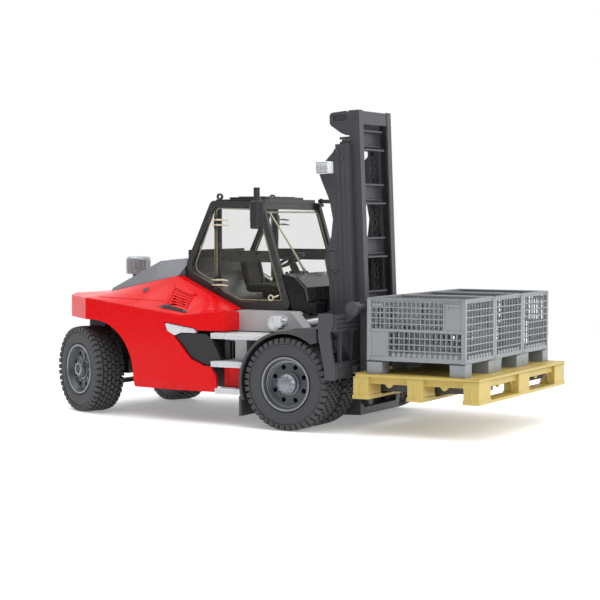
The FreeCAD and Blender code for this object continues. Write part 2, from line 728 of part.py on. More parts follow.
def side_box():
    """Grey tool box between the steps of the left side."""
    x0, x1 = STEP_REAR_X + 7, -FENDER_R - FENDER_T - 1.2
    z1 = STEP_TOPS[0] - STEP_T - 0.2
    z0 = STEP_TOPS[2] + 0.4
    shape = block(x0, x1, BELLY_HALF_W, STEP_IN + 14, z0, z1)
    recess = block(x0 + 3, x0 + 9, STEP_IN + 11, STEP_IN + 15, z0 + 21, z1 - 1.5)
    ledge = block(x0 - 3, x1 + 1, STEP_IN + 1, STEP_IN + 16, STEP_TOPS[1] - STEP_T - 0.2,
                  STEP_TOPS[1] + 0.2)
    return shape.cut([recess, ledge])


def steps():
    """Three treads and their hangers on the left side."""
    fronts = (UPPER_STEP_FRONT_X, -FENDER_R - FENDER_T + 6, -FENDER_R - FENDER_T + 3)
    rears = (STEP_REAR_X, STEP_REAR_X, STEP_REAR_X + 3.6)
    treads = []
    for top, x0, x1 in zip(STEP_TOPS, rears, fronts):
        tread = block(x0, x1, STEP_IN + 1.5, STEP_OUT, top - STEP_T, top)
        treads.append(tread)
    hanger = block(STEP_REAR_X + 3.6, STEP_REAR_X + 6.6, STEP_IN + 1.5, STEP_IN + 5,
                   STEP_TOPS[2] - 1, STEP_TOPS[0] - 1)
    upper_rest = block(STEP_REAR_X, -30, BELLY_HALF_W, STEP_IN + 2, STEP_TOPS[0] - STEP_T,
                       STEP_TOPS[0])
    shape = join(*treads, hanger, upper_rest)
    return shape.cut([fender_clear(0.4)])


def fender():
    """Left front fender: arch, deep front skirt and mud flap behind the tyre."""
    y0, y1 = FENDER_IN, FRONT_OUTER_Y
    outer = FENDER_R + FENDER_T
    ring = bar("y", outer, (0, y0, AXLE_Z), y1 - y0).cut(
        [bar("y", FENDER_R, (0, y0 - 1, AXLE_Z), y1 - y0 + 2)])
    keep = side([(0, AXLE_Z), (-60, AXLE_Z - 22), (-60, AXLE_Z + 60), (24, AXLE_Z + 60)],
                y0 - 1, y1 + 1)
    arch = ring.common(keep)
    skirt = side([(6, TYRE_TOP + 2.5), (13, TYRE_TOP + 7), (26.5, TYRE_TOP + 7),
                  (27.0, TYRE_TOP - 3), (20, TYRE_TOP - 5), (6, TYRE_TOP)],
                 y1 - 30, y1)
    skirt = skirt.cut([bar("y", FENDER_R, (0, y0 - 1, AXLE_Z), y1 - y0 + 2)])
    flap_x = -FENDER_R - 3
    flap = block(flap_x, flap_x + FLAP_T, y0 + 14, y1 - 2, AXLE_Z - 26,
                 STEP_TOPS[2] - STEP_T - SLIDE_GAP)
    lug = block(flap_x, flap_x + 6, y0 + 14, STEP_IN + 1.2, AXLE_Z - 14.5, AXLE_Z - 7)
    lug = lug.cut([bar("y", FENDER_R, (0, y0 - 1, AXLE_Z), y1 - y0 + 2)])
    return join(arch, skirt, flap, lug)


def headlamp():
    """Left work lamp: round pivot housing, square lens box and a short arm."""
    x, y, z = HEADLAMP_AT
    housing = bar("y", HEADLAMP_R, (x, y - 10, z), 10)
    lens = block(x + 1, x + 6.7, y - 8.5, y + 2.0, z - 3.0, z + 5.2)
    arm = bar("y", 1.6, (x, BASE_HALF_W, z), y - 9 - BASE_HALF_W)
    return join(housing, lens, arm)


# ---- cab -----------------------------------------------------------------------------------------
def cab_base():
    """Pale plinth under the cab, with the rear eyes of the tilt cylinders."""
    points = [(-67.0, BASE_BOTTOM_Z), (-60.0, CAB_SILL_Z - 0.2), (-11.0, CAB_SILL_Z - 0.2),
              (0.5, TYRE_TOP + 4.5), (0.5, BASE_BOTTOM_Z)]
    shape = side(points, -BASE_HALF_W, BASE_HALF_W)
    x, z = TILT_REAR
    pockets = []
    pins = []
    for sign in (-1, 1):
        y = sign * TILT_Y
        pockets.append(block(x - BARREL_R - 2.2, 6, y - BARREL_R - 1.4, y + BARREL_R + 1.4,
                             BASE_BOTTOM_Z - 1, CAB_SILL_Z - 2.5))
        pins.append(bar("y", TILT_PIN_R, (x, y - BARREL_R - 2.4, z), 2 * BARREL_R + 4.8))
    shape = shape.cut([fender_clear(0.4)] + pockets)
    rear_slab = block(CAB_BACK_X + 8, -66.0, -CAB_HALF_W, CAB_HALF_W, BASE_BOTTOM_Z,
                      BASE_BOTTOM_Z + 4)
    return join(shape, rear_slab, *pins)


def front_edge_x(z):
    """Front edge of the windscreen pillars at height z."""
    share = (z - CAB_SILL_Z) / (CAB_H - 1.5)
    return CAB_FRONT_X + share * (CAB_TOP_FRONT_X - CAB_FRONT_X)


def pillar_foot_z(x):
    """Lower inside edge of the side frame along its sloping rear part."""
    share = (x - CAB_LOW_REAR_X) / (CAB_BACK_X + 2.4 - CAB_LOW_REAR_X)
    return CAB_SILL_Z + share * (CAB_KNEE_Z - CAB_SILL_Z)


def cab_frame():
    """Side frames, door pillars, belt rails, cross members, rear wall and floor."""
    outer_y = CAB_HALF_W
    inner_y = CAB_HALF_W - CAB_TUBE_T
    outer = side(cab_outline(), inner_y, outer_y, 5.0)
    opening = side(cab_opening(), inner_y - 1, outer_y + 1, 3.0)
    side_ring = outer.cut([opening])
    top = CAB_SILL_Z + CAB_H - CAB_TUBE + 0.5
    x0, x1 = PILLAR_X - PILLAR_W / 2, PILLAR_X + PILLAR_W / 2
    pillar = block(x0, x1, inner_y, inner_y + 2.0, pillar_foot_z(x0) + 2, top)
    belt = block(x1 - 1, front_edge_x(BELT_Z1) - 2, inner_y, inner_y + 1.6, BELT_Z0, BELT_Z1)
    belt = belt.common(outer)
    pieces = [side_ring, pillar, belt]
    hinge_y = CAB_HALF_W + DOOR_HINGE_OUT
    for level in HINGE_LEVELS:
        z = CAB_SILL_Z + level
        pieces.append(bar("z", DOOR_PIN_R, (PILLAR_X, hinge_y, z - 5.5), 11))
        for end in (z - 5.5, z + 3.0):
            pieces.append(block(PILLAR_X - 1.2, PILLAR_X + 1.2, inner_y + 1, hinge_y, end, end + 2.5))
    mx, my = MIRROR_PIN
    roof_z = CAB_SILL_Z + CAB_H - 1.5
    pieces.append(block(mx - 2.2, mx + 2.2, inner_y, my, roof_z - 3.2, roof_z - 0.6))
    pieces.append(bar("z", 2.2, (mx, my, roof_z - 3.2), 2.6))
    pieces.append(bar("z", DOOR_PIN_R, (mx, my, roof_z - 1), 4.6))
    left = join(*pieces)
    cross = [
        block(CAB_TOP_REAR_X - 1, CAB_TOP_REAR_X + 4, -inner_y, inner_y, roof_z - 4.5, roof_z - 0.6),
        block(CAB_TOP_FRONT_X - 5.5, CAB_TOP_FRONT_X - 2.2, -inner_y, inner_y, roof_z - 5.5,
              roof_z - 0.6),
        block(CAB_FRONT_X - 7.5, CAB_FRONT_X - 4.2, -inner_y, inner_y, CAB_SILL_Z,
              CAB_SILL_Z + 4.0),
    ]
    wall_t = 2.0
    back = [(CAB_BACK_X + 0.6, CAB_BACK_Z + 2), (CAB_BACK_X + 1.2, CAB_KNEE_Z + 3),
            (CAB_BACK_X + 4.8, CAB_KNEE_Z + 0.6), (CAB_LOW_REAR_X, CAB_SILL_Z),
            (CAB_FRONT_X - 4, CAB_SILL_Z), (CAB_FRONT_X - 4, CAB_SILL_Z + wall_t),
            (CAB_LOW_REAR_X + 1, CAB_SILL_Z + wall_t), (CAB_BACK_X + 6.4, CAB_KNEE_Z + 2.4),
            (CAB_BACK_X + 3.4, CAB_KNEE_Z + 4.6), (CAB_BACK_X + 3.4, CAB_BACK_Z + 4)]
    tub = side(back, -inner_y, inner_y)
    return join(left, mirrored(left), tub, *cross)


def cab_roof():
    """Roof panel with a raised middle and two lifting eyes at the rear."""
    z0 = CAB_SILL_Z + CAB_H - 1.5 - 0.6
    x0, x1 = CAB_TOP_REAR_X + 0.5, CAB_TOP_FRONT_X - 1.6
    half = CAB_HALF_W - CAB_TUBE_T - SLIDE_GAP
    sheet = plan([(x0, -half), (x1, -half), (x1, half), (x0, half)], z0, z0 + ROOF_T - 1, 3.0)
    rise = plan([(x0 + 5, -half + 12), (x1 - 4, -half + 12), (x1 - 4, half - 12),
                 (x0 + 5, half - 12)], z0 + ROOF_T - 1, z0 + ROOF_T + 0.8, 4.0)
    eyes = []
    for sign in (-1, 1):
        y = sign * (half - 2.0)
        ring = bar("y", EYE_R, (x0 + 4, y - 1, z0 + ROOF_T + 1.2), 2).cut(
            [bar("y", EYE_R - 1.2, (x0 + 4, y - 2, z0 + ROOF_T + 1.2), 4)])
        eyes.append(ring)
    return join(sheet, rise, *eyes)


def windscreen():
    """Clear sheet between the front pillars."""
    z0, z1 = CAB_SILL_Z + 4.3, CAB_SILL_Z + CAB_H - 7.5
    back = 2.6
    points = [(front_edge_x(z0) - back, z0), (front_edge_x(z0) - back + GLASS_T, z0),
              (front_edge_x(z1) - back + GLASS_T, z1), (front_edge_x(z1) - back, z1)]
    half = CAB_HALF_W - CAB_TUBE_T - SLIDE_GAP
    return side(points, -half, half)


def wiper():
    """Slanting wiper on the windscreen."""
    out = 1.6
    z0, z1 = CAB_SILL_Z + 30.5, CAB_SILL_Z + 76.0
    start = (front_edge_x(z0) - 1.2 + out, 10.8, z0)
    end = (front_edge_x(z1) - 1.2 + out, CAB_HALF_W - 6.5, z1)
    arm = strut(0.9, start, end)
    foot = strut(1.6, (start[0] - out + 0.3, start[1], z0), (start[0] + 0.6, start[1], z0))
    return mirrored(join(arm, foot))


def cab_glazing():
    """Rear window and the two quarter windows."""
    z0, z1 = CAB_BACK_Z + 4.4, CAB_SILL_Z + CAB_H - 6.4
    half = CAB_HALF_W - CAB_TUBE_T - SLIDE_GAP

    def rear_x(z):
        share = (z - CAB_BACK_Z) / (CAB_SILL_Z + CAB_H - CAB_BACK_Z)
        return CAB_BACK_X + share * (CAB_TOP_REAR_X - CAB_BACK_X) + 1.4

    rear = side([(rear_x(z0), z0), (rear_x(z0) + GLASS_T, z0), (rear_x(z1) + GLASS_T, z1),
                 (rear_x(z1), z1)], -half, half)
    ring = cab_opening(0.1)
    y0 = CAB_HALF_W - CAB_TUBE_T + 0.4
    quarter = side(ring, y0, y0 + GLASS_T, 2.9).common(
        block(CAB_BACK_X, PILLAR_X - PILLAR_W / 2 - 0.2, 0, CAB_HALF_W, CAB_SILL_Z,
              CAB_SILL_Z + CAB_H))
    return Part.makeCompound([rear, quarter, mirrored(quarter)])


def front_cowl():
    """Glossy scuttle below the windscreen."""
    z0, z1 = CAB_SILL_Z, CAB_SILL_Z + 28.0
    points = [(front_edge_x(z0) + PART_GAP, z0), (front_edge_x(z1) + PART_GAP, z1),
              (-15.0, z1 - 2.5), (-7.0, z1 - 10.0), (-4.5, z0 + 8), (-5.0, z0)]
    half = CAB_HALF_W - 1.0
    shape = side(points, -half, half)
    edges = [e for e in shape.Edges
             if abs(abs(e.CenterOfMass.y) - half) < 0.01 and e.CenterOfMass.x > -17
             and e.CenterOfMass.z > z0 + 1]
    rounded = shape.makeFillet(3.0, edges)
    box = block(-7.0, 2.5, 28.0, half, CAB_SILL_Z - 1.5, CAB_SILL_Z + 6.3)
    return join(rounded, box, mirrored(box))


def driver_seat():
    """Pedestal, cushion, backrest and head rest of the driver's seat."""
    z = CAB_SILL_Z + 2.0
    pedestal = block(-66.2, -58, -11, 11, z, z + 10)
    cushion = side([(-80.5, z + 9.5), (-80.5, z + 15), (-57, z + 16), (-55, z + 9.5)],
                   -14, 14, 2.0)
    back = side([(-81.5, z + 11), (-89.5, z + 40), (-85, z + 41), (-76.5, z + 14)],
                -13, 13, 1.8)
    rest = side([(-89.4, z + 39.5), (-90.6, z + 47), (-87, z + 48), (-85.2, z + 39.5)],
                -7, 7, 1.0)
    return join(pedestal, cushion, back, rest)


def steering_axis():
    """Hub centre and unit vector of the steering wheel's spindle."""
    tilt = math.radians(WHEEL_TILT)
    hub = vec(WHEEL_AT[0], 0, CAB_SILL_Z + WHEEL_AT[1])
    return hub, vec(-math.sin(tilt), 0, math.cos(tilt))


def steering_column():
    """Console and column under the steering wheel, bored for its spindle."""
    hub, up = steering_axis()
    z = CAB_SILL_Z + 2.0
    console = side([(-38, z), (-37, z + 20), (-31.8, z + 22), (-28.4, z + 12), (-27.4, z)],
                   -14, 14, 1.5)
    foot = hub - up * 26
    column = Part.makeCylinder(3.0, 22, foot, up)
    bore = Part.makeCylinder(1.5 + RUN, 12, hub - up * 15, up)
    return join(console, column).cut([bore])


def steering_wheel():
    """Rim, three spokes, hub and spindle."""
    hub, up = steering_axis()
    ring = Part.makeTorus(STEERING_R, GRIP_R, hub, up)
    boss = Part.makeCylinder(2.8, 3.0, hub - up * 2.6, up)
    spindle = Part.makeCylinder(1.5, 12, hub - up * 14, up)
    spokes = []
    for i in range(3):
        spoke = Part.makeCylinder(0.9, STEERING_R, hub - up * 0.8, vec(0, 1, 0))
        spoke.rotate(hub, up, 90 + 120 * i)
        spokes.append(spoke)
    return join(ring, boss, spindle, *spokes)


def door():
    """Clear left door with its two hinge eyes and a ring handle."""
    ring = cab_opening(PART_GAP)
    y1 = CAB_HALF_W
    y0 = y1 - DOOR_T
    front_part = block(PILLAR_X - 1.5, 0, y0 - 1, y1 + 1, CAB_SILL_Z, CAB_SILL_Z + CAB_H)
    pane = side(ring, y0, y1, 2.6).common(front_part)
    hinge_y = CAB_HALF_W + DOOR_HINGE_OUT
    levels = [CAB_SILL_Z + level for level in HINGE_LEVELS]
    notches = [block(PILLAR_X - 3, PILLAR_X + 3.2, y0 - 1, y1 + 1, z - 6.2, z + 6.2)
               for z in levels]
    pieces = [pane.cut(notches)]
    bores = []
    height = 5.4
    for z in levels:
        low = z - height / 2
        pieces.append(bar("z", DOOR_EYE_R, (PILLAR_X, hinge_y, low), height))
        pieces.append(block(PILLAR_X, PILLAR_X + 7, y1 - 0.5, hinge_y + 0.8, low, low + height))
        bores.append(bar("z", DOOR_PIN_R + RUN, (PILLAR_X, hinge_y, low - 1), height + 2))
    handle = bar("y", 3.0, (-36, y1 - 0.4, CAB_SILL_Z + 9.6), 1.9)
    bores.append(bar("y", 1.6, (-36, y1 + 0.2, CAB_SILL_Z + 9.6), 2.0))
    pieces.append(handle)
    return join(*pieces).cut(bores)


def mirror():
    """Left mirror: eye on its pin, arm, housing and marker lamp stub."""
    mx, my = MIRROR_PIN
    cx, cy = MIRROR_AT
    z = CAB_SILL_Z + CAB_H - 1.5
    eye = bar("z", 2.6, (mx, my, z - 0.3), 3.2)
    arm = plan([(mx - 1.5, my), (cx - 2.2, cy), (cx + 2.2, cy), (mx + 1.8, my)], z - 0.3, z + 2.9)
    housing = block(cx - MIRROR_L / 2, cx + MIRROR_L / 2, cy - MIRROR_W / 2, cy + MIRROR_W / 2,
                    z + 1 - MIRROR_H, z + 1)
    housing = housing.makeFillet(1.4, housing.Edges)
    stub = bar("z", STUB_R, (cx, cy, z), STUB_H)
    bore = bar("z", DOOR_PIN_R + RUN, (mx, my, z - 2), 8)
    return join(eye, arm, housing, stub).cut([bore])


# ---- mast ----------------------------------------------------------------------------------------
def outer_mast():
    """Outer rails with their feet, rear cross members and cylinder lugs."""
    web_in = OUTER_HALF_W - OUTER_WEB
    rail = block(OUTER_REAR_U, OUTER_FRONT_U, web_in, OUTER_HALF_W, MAST_FOOT_Z, OUTER_TOP_Z)
    flange = block(OUTER_REAR_U, OUTER_REAR_U + 2.3, INNER_HALF_W - INNER_LIP, web_in,
                   MAST_FOOT_Z + 20, OUTER_TOP_Z)
    ribs = [block(u, u + 1.4, OUTER_HALF_W - 0.1, OUTER_HALF_W + 0.7, MAST_FOOT_Z + 30,
                  OUTER_TOP_Z - 1) for u in (OUTER_REAR_U + 1.2, OUTER_REAR_U + 5.2)]
    foot = side([(OUTER_REAR_U - 3, MAST_FOOT_Z), (OUTER_FRONT_U + 3.5, MAST_FOOT_Z),
                 (OUTER_FRONT_U + 3.5, MAST_FOOT_Z + 8), (OUTER_FRONT_U, MAST_FOOT_Z + 26),
                 (OUTER_REAR_U - 3, MAST_FOOT_Z + 26)], web_in, OUTER_HALF_W)
    bore = bar("y", PIVOT_R + RUN, (PIVOT_X, 0, PIVOT_Z), OUTER_HALF_W + 1)
    left = join(rail, flange, foot, *ribs).cut([bore])
    sill = block(OUTER_FRONT_U - 2, OUTER_FRONT_U + 3.5, -web_in, web_in, MAST_FOOT_Z,
                 MAST_FOOT_Z + 5.5)
    backs = []
    for i in (1, 2):
        z = MAST_TOP_Z - BEAM_TOP_GAP - BEAM_H - BEAM_PITCH * i
        backs.append(block(OUTER_REAR_U, OUTER_REAR_U + 2.3, -web_in, web_in, z, z + BEAM_H))
    return join(left, mirrored(left), sill, *backs)


def tilt_lugs():
    """Front eyes' pins of the tilt cylinders, standing out of the outer rails."""
    x, z = TILT_FRONT
    return pair_join(join(
        bar("y", TILT_PIN_R, (x, OUTER_HALF_W - 0.5, z), TILT_Y + 4 - OUTER_HALF_W),
        bar("y", TILT_PIN_R + 1.6, (x, OUTER_HALF_W - 0.5, z), TILT_Y - 3.6 - OUTER_HALF_W),
        block(x, OUTER_FRONT_U - 6, OUTER_HALF_W - 0.5, OUTER_HALF_W + 3, z - 4, z + 4)))


def pair_join(shape):
    return join(shape, mirrored(shape))


def fairing():
    """Wing-shaped guard on the rear edge of the left outer rail."""
    edge = [(17.2, 6.0), (6.0, 16.5), (4.6, 21.0), (7.5, 29.0), (13.2, 43.0),
            (15.4, 57.0), (13.5, 70.0), (9.0, 81.0), (7.2, 89.0), (8.4, 96.0),
            (10.4, 105.0), (10.0, 131.0), (14.0, 141.0)]
    rear = OUTER_REAR_U
    points = [(u, OUTER_TOP_Z - drop) for u, drop in edge]
    wing = side(points + [(rear, OUTER_TOP_Z - FAIRING_L), (rear, OUTER_TOP_Z - 2.0)],
                OUTER_HALF_W - 5.0, OUTER_HALF_W - 0.5, 3.0)
    barrel_z = OUTER_TOP_Z - FAIRING_BARREL_DROP
    barrel = bar("z", 4.6, (12.8, OUTER_HALF_W - 4.0, barrel_z), 14.0)
    barrel = barrel.common(block(0, rear, 0, OUTER_HALF_W + 4, barrel_z - 19, barrel_z + 31))
    return join(wing, barrel)


def mast_lamp():
    """Square work lamp on the left fairing."""
    z = LAMP_Z
    return side([(6.4, z - 4.6), (17.3, z - 4.6), (17.3, z + 4.6), (6.4, z + 4.6)],
                OUTER_HALF_W - 0.5, OUTER_HALF_W + 7.5, 1.2)


def inner_mast():
    """Inner channel rails, C-shaped cross beams and the rearward top horns."""
    y1 = INNER_HALF_W
    y0 = y1 - INNER_WEB
    lip = y1 - INNER_LIP
    z0, z1 = INNER_FOOT_Z, MAST_TOP_Z
    web = block(INNER_REAR_U, INNER_FRONT_U, y0, y1, z0, z1)
    flanges = [block(INNER_REAR_U, INNER_REAR_U + INNER_FLANGE, lip, y0, z0, z1),
               block(INNER_FRONT_U - INNER_FLANGE, INNER_FRONT_U, lip, y0, z0, z1)]
    tongue = block(OUTER_REAR_U + 2.3 + SLIDE_GAP, INNER_REAR_U, y1 - 3.2, y1, z0 + 8, z1 - 22)
    horn_rear = INNER_REAR_U - HORN_L
    horn = side([(horn_rear, z1 - HORN_H), (horn_rear, z1 - 1), (INNER_REAR_U, z1),
                 (INNER_REAR_U, z1 - 20), (INNER_REAR_U - 7, z1 - 17)], y1 - 4, y1, 3.0)
    eye = side([(horn_rear + 2.6, z1 - 7.4), (horn_rear + 2.6, z1 - 3), (INNER_REAR_U - 2, z1 - 2.4),
                (INNER_REAR_U - 2, z1 - 8)], y1 - 1.6, y1 + 1, 1.6)
    pegs = [bar("x", 1.0, (INNER_REAR_U - 9, y1 - 2, z), 9) for z in (z1 - 20.8, z1 - 24.4)]
    left = join(web, tongue, horn, *flanges, *pegs).cut([eye])
    pieces = [left, mirrored(left)]
    reach = y0 + 0.5
    u0 = INNER_FRONT_U - 6.0
    head = block(u0 + 3, INNER_FRONT_U - 0.5, -reach, reach, z1 - HEAD_H, z1 - 0.6)
    pieces.append(head)
    for i in range(BEAM_COUNT):
        top = z1 - BEAM_TOP_GAP - BEAM_PITCH * i
        rear_u = INNER_REAR_U
        pieces.append(block(rear_u, rear_u + 1.6, -reach, reach, top - BEAM_H, top))
    return join(*pieces)


def lift_chains():
    """The two lift chains behind the cross beams."""
    z0 = 62.0
    z1 = MAST_TOP_Z - BEAM_TOP_GAP - BEAM_H - 2
    return pair(bar("z", CHAIN_R, (INNER_REAR_U - CHAIN_R, CHAIN_Y, z0), z1 - z0))


# ---- tilt cylinders ------------------------------------------------------------------------------
def tilt_direction():
    """Unit vector and length from the rear eye to the front eye, mast leaned."""
    lean = math.radians(MAST_TILT)
    dx, dz = TILT_FRONT[0] - PIVOT_X, TILT_FRONT[1] - PIVOT_Z
    fx = PIVOT_X + dx * math.cos(lean) - dz * math.sin(lean)
    fz = PIVOT_Z + dz * math.cos(lean) + dx * math.sin(lean)
    run = vec(fx - TILT_REAR[0], 0, fz - TILT_REAR[1])
    return run * (1 / run.Length), run.Length


def tilt_barrel():
    """Left barrel with its rear eye, bored for the rod."""
    way, length = tilt_direction()
    start = vec(TILT_REAR[0], TILT_Y, TILT_REAR[1])
    tube = Part.makeCylinder(BARREL_R, length - ROD_SHOW, start, way)
    eye = bar("y", BARREL_R, (start.x, TILT_Y - BARREL_R + 0.4, start.z), 2 * BARREL_R - 0.8)
    pin_bore = bar("y", TILT_PIN_R + RUN, (start.x, TILT_Y - 9, start.z), 18)
    bore = Part.makeCylinder(PISTON_R + RUN, length, start + way * (TILT_PIN_R + 1.2), way)
    return join(tube, eye).cut([pin_bore, bore])


def tilt_rod():
    """Left rod with a slack front eye round the mast's pin."""
    way, length = tilt_direction()
    start = vec(TILT_REAR[0], TILT_Y, TILT_REAR[1])
    end = start + way * length
    inside = TILT_PIN_R + 3.8
    rod = Part.makeCylinder(PISTON_R, length - inside, start + way * inside, way)
    eye = bar("y", TILT_PIN_R + 2.0, (end.x, TILT_Y - 2.4, end.z), 4.8)
    bore = bar("y", TILT_PIN_R + TILT_SLACK, (end.x, TILT_Y - 9, end.z), 18)
    return join(rod, eye).cut([bore])


# ---- carriage ------------------------------------------------------------------------------------
def carriage():
    """End plates, ribbed beams, back plate, shaft ears and the rollers' brackets."""
    z0, z1 = CARRIAGE_Z0, CARRIAGE_Z1
    plate = side([(30.0, z1), (41.9, z1), (41.9, z1 - 9), (39.4, z1 - 14), (42.4, z0 + 13),
                  (43.6, z0 + 10), (43.6, z0 - 0.8), (35.4, z0 - 0.8), (34.6, z0 + 8),
                  (31.2, z0 + 25), (30.0, z1 - 17)], PLATE_Y - PLATE_T, PLATE_Y)
    reach = PLATE_Y - PLATE_T + 0.1
    upper = block(CARRIAGE_X, BEAM_FRONT_X, -reach, reach, z1 - 1.5 - UPPER_BEAM_H, z1 - 1.5)
    grooves = [block(BEAM_FRONT_X - 0.8, BEAM_FRONT_X + 1, -reach - 1, reach + 1,
                     z1 - 4.5 - 3.2 * i, z1 - 3.6 - 3.2 * i) for i in range(3)]
    lower = block(CARRIAGE_X, BEAM_FRONT_X, -reach, reach, z0, z0 + LOWER_BEAM_H)
    back = front([(-88, z1 - 12), (-64, z0 + 11), (64, z0 + 11), (88, z1 - 12)], CARRIAGE_X,
                 CARRIAGE_X + 2.6)
    pads = [block(BEAM_FRONT_X - 0.5, FORK_SHANK_X - SLIDE_GAP, s * 36.5 - 31, s * 36.5 + 31,
                  z0 + 2.5, z0 + 8) for s in (-1, 1)]
    ears = []
    bores = []
    for y in (-EAR_Y, 0.0, EAR_Y):
        ears.append(side([(BEAM_FRONT_X - 2, z1 - 9), (BEAM_FRONT_X - 2, z1 - 1.5),
                          (SHAFT_X - 3.5, SHAFT_Z + 4.6), (SHAFT_X + 3, SHAFT_Z + 4.6),
                          (SHAFT_X + 4.8, SHAFT_Z), (SHAFT_X + 2, SHAFT_Z - 5)],
                         y - EAR_T / 2, y + EAR_T / 2))
        bores.append(bar("y", SHAFT_R, (SHAFT_X, y - EAR_T, SHAFT_Z), 2 * EAR_T))
    bracket_in = INNER_HALF_W - INNER_LIP - SLIDE_GAP
    bracket_out = INNER_HALF_W - INNER_WEB - SLIDE_GAP
    u0 = INNER_REAR_U + INNER_FLANGE + SLIDE_GAP
    u1 = INNER_FRONT_U - INNER_FLANGE - SLIDE_GAP
    arms = []
    for low in (z0 + 2, z1 - 16):
        shoe = block(u0, u1, bracket_in - 3, bracket_out, low, low + 12)
        arm = block(u0, CARRIAGE_X + 5, bracket_in - 3, bracket_in, low, low + 12)
        arms += [shoe, arm]
    arms = leaned(join(*arms[:2]).fuse(arms[2:]))
    arms = arms.common(block(0, CARRIAGE_X + 1.5, -40, 40, 0, 300))
    body = join(plate, mirrored(plate), upper, lower, back, *pads, *ears, arms, mirrored(arms))
    return body.cut(grooves + bores)


def fork_shaft():
    """Round shaft that carries the forks, with a collar at each end."""
    end = EAR_Y + EAR_T / 2 + 2.6
    shaft = bar("y", SHAFT_R, (SHAFT_X, -end, SHAFT_Z), 2 * end)
    collars = [bar("y", SHAFT_R + 2.2, (SHAFT_X, y, SHAFT_Z), 2.6)
               for y in (-end, EAR_Y + EAR_T / 2)]
    return join(shaft, *collars)


def fork():
    """Left fork: eye on the shaft, shank, heel and tapered blade."""
    x0, x1 = FORK_SHANK_X, FORK_SHANK_X + FORK_T
    low = FORK_BOTTOM_Z
    tip = x0 + FORK_LENGTH
    points = [(x0, low + 4), (x0 + 4, low), (tip - 12, low + 1.2), (tip, low + FORK_BLADE_H - 3),
              (tip, low + FORK_BLADE_H - 0.6), (tip - 2, low + FORK_BLADE_H),
              (x1 + 0.3, low + FORK_BLADE_H), (x1, low + FORK_BLADE_H + 0.3),
              (x1, SHAFT_Z), (x0, SHAFT_Z)]
    y0, y1 = FORK_Y - FORK_W / 2, FORK_Y + FORK_W / 2
    body = side(points, y0, y1)
    nose = plan([(x0 - 1, y0), (tip - 10, y0), (tip + 0.1, y0 + 5), (tip + 0.1, y1 - 5),
                 (tip - 10, y1), (x0 - 1, y1)], low - 1, SHAFT_Z + 1)
    eye = bar("y", FORK_EYE_R, (SHAFT_X, y0, SHAFT_Z), FORK_W)
    waist = bar("y", SHAFT_R + 1.6, (SHAFT_X, y0 + 4, SHAFT_Z), FORK_W - 8)
    bore = bar("y", SHAFT_R + RUN, (SHAFT_X, y0 - 1, SHAFT_Z), FORK_W + 2)
    return join(body.common(nose), eye, waist).cut([bore])


# ---- load ----------------------------------------------------------------------------------------
DECK_UNDER_Z = FORK_BOTTOM_Z + FORK_BLADE_H + LOAD_GAP
BLOCK_BASE_Z = FORK_BOTTOM_Z - FORK_ROOM
PALLET_TOP_Z = DECK_UNDER_Z + STRINGER_T + DECK_T


def pallet():
    """Nine blocks on three base boards, three stringers and a slatted deck."""
    x0, x1 = PALLET_X, PALLET_X + PALLET_L
    half = PALLET_HALF_W
    pieces = []
    for i in range(3):
        bx = x0 + i * (PALLET_L - PALLET_BLOCK_L) / 2
        end = bx + PALLET_BLOCK_L
        pieces.append(block(bx, end, -half, half, BLOCK_BASE_Z - PALLET_BASE_T, BLOCK_BASE_Z))
        pieces.append(block(bx, end, -half, half, DECK_UNDER_Z, DECK_UNDER_Z + STRINGER_T))
        for by in (-half, -PALLET_BLOCK_W / 2, half - PALLET_BLOCK_W):
            pieces.append(block(bx, end, by, by + PALLET_BLOCK_W, BLOCK_BASE_Z, DECK_UNDER_Z))
    board = (2 * half - DECK_GAP * (DECK_BOARDS - 1)) / DECK_BOARDS
    for i in range(DECK_BOARDS):
        y = -half + i * (board + DECK_GAP)
        pieces.append(block(x0, x1, y, y + board, DECK_UNDER_Z + STRINGER_T, PALLET_TOP_Z))
    return join(*pieces)


def crate(middle_y):
    """Open-topped cage crate: rim, four walls, floor and corner feet."""
    x0, x1 = CRATE_X, CRATE_X + CRATE_L
    y0, y1 = middle_y - CRATE_W / 2, middle_y + CRATE_W / 2
    base = PALLET_TOP_Z
    floor = base + CRATE_FOOT_H
    top = base + CRATE_H
    t = CRATE_WALL
    shell = block(x0, x1, y0, y1, floor, top).cut(
        [block(x0 + t, x1 - t, y0 + t, y1 - t, floor + CRATE_FLOOR_T, top + 1)])
    feet = []
    for fx in (x0, x1 - CRATE_FOOT):
        for fy in (y0, y1 - CRATE_FOOT):
            feet.append(block(fx, fx + CRATE_FOOT, fy, fy + CRATE_FOOT, base, floor))
    return join(shell, *feet)


# ---- assembly ------------------------------------------------------------------------------------
def steered(shape, sign):
    """Left-side steering piece, mirrored for the right, turned to the rest angle."""
    copy = mirrored(shape) if sign < 0 else shape
    return turned(copy, REAR_X, sign * KINGPIN_Y, STEER_REST)


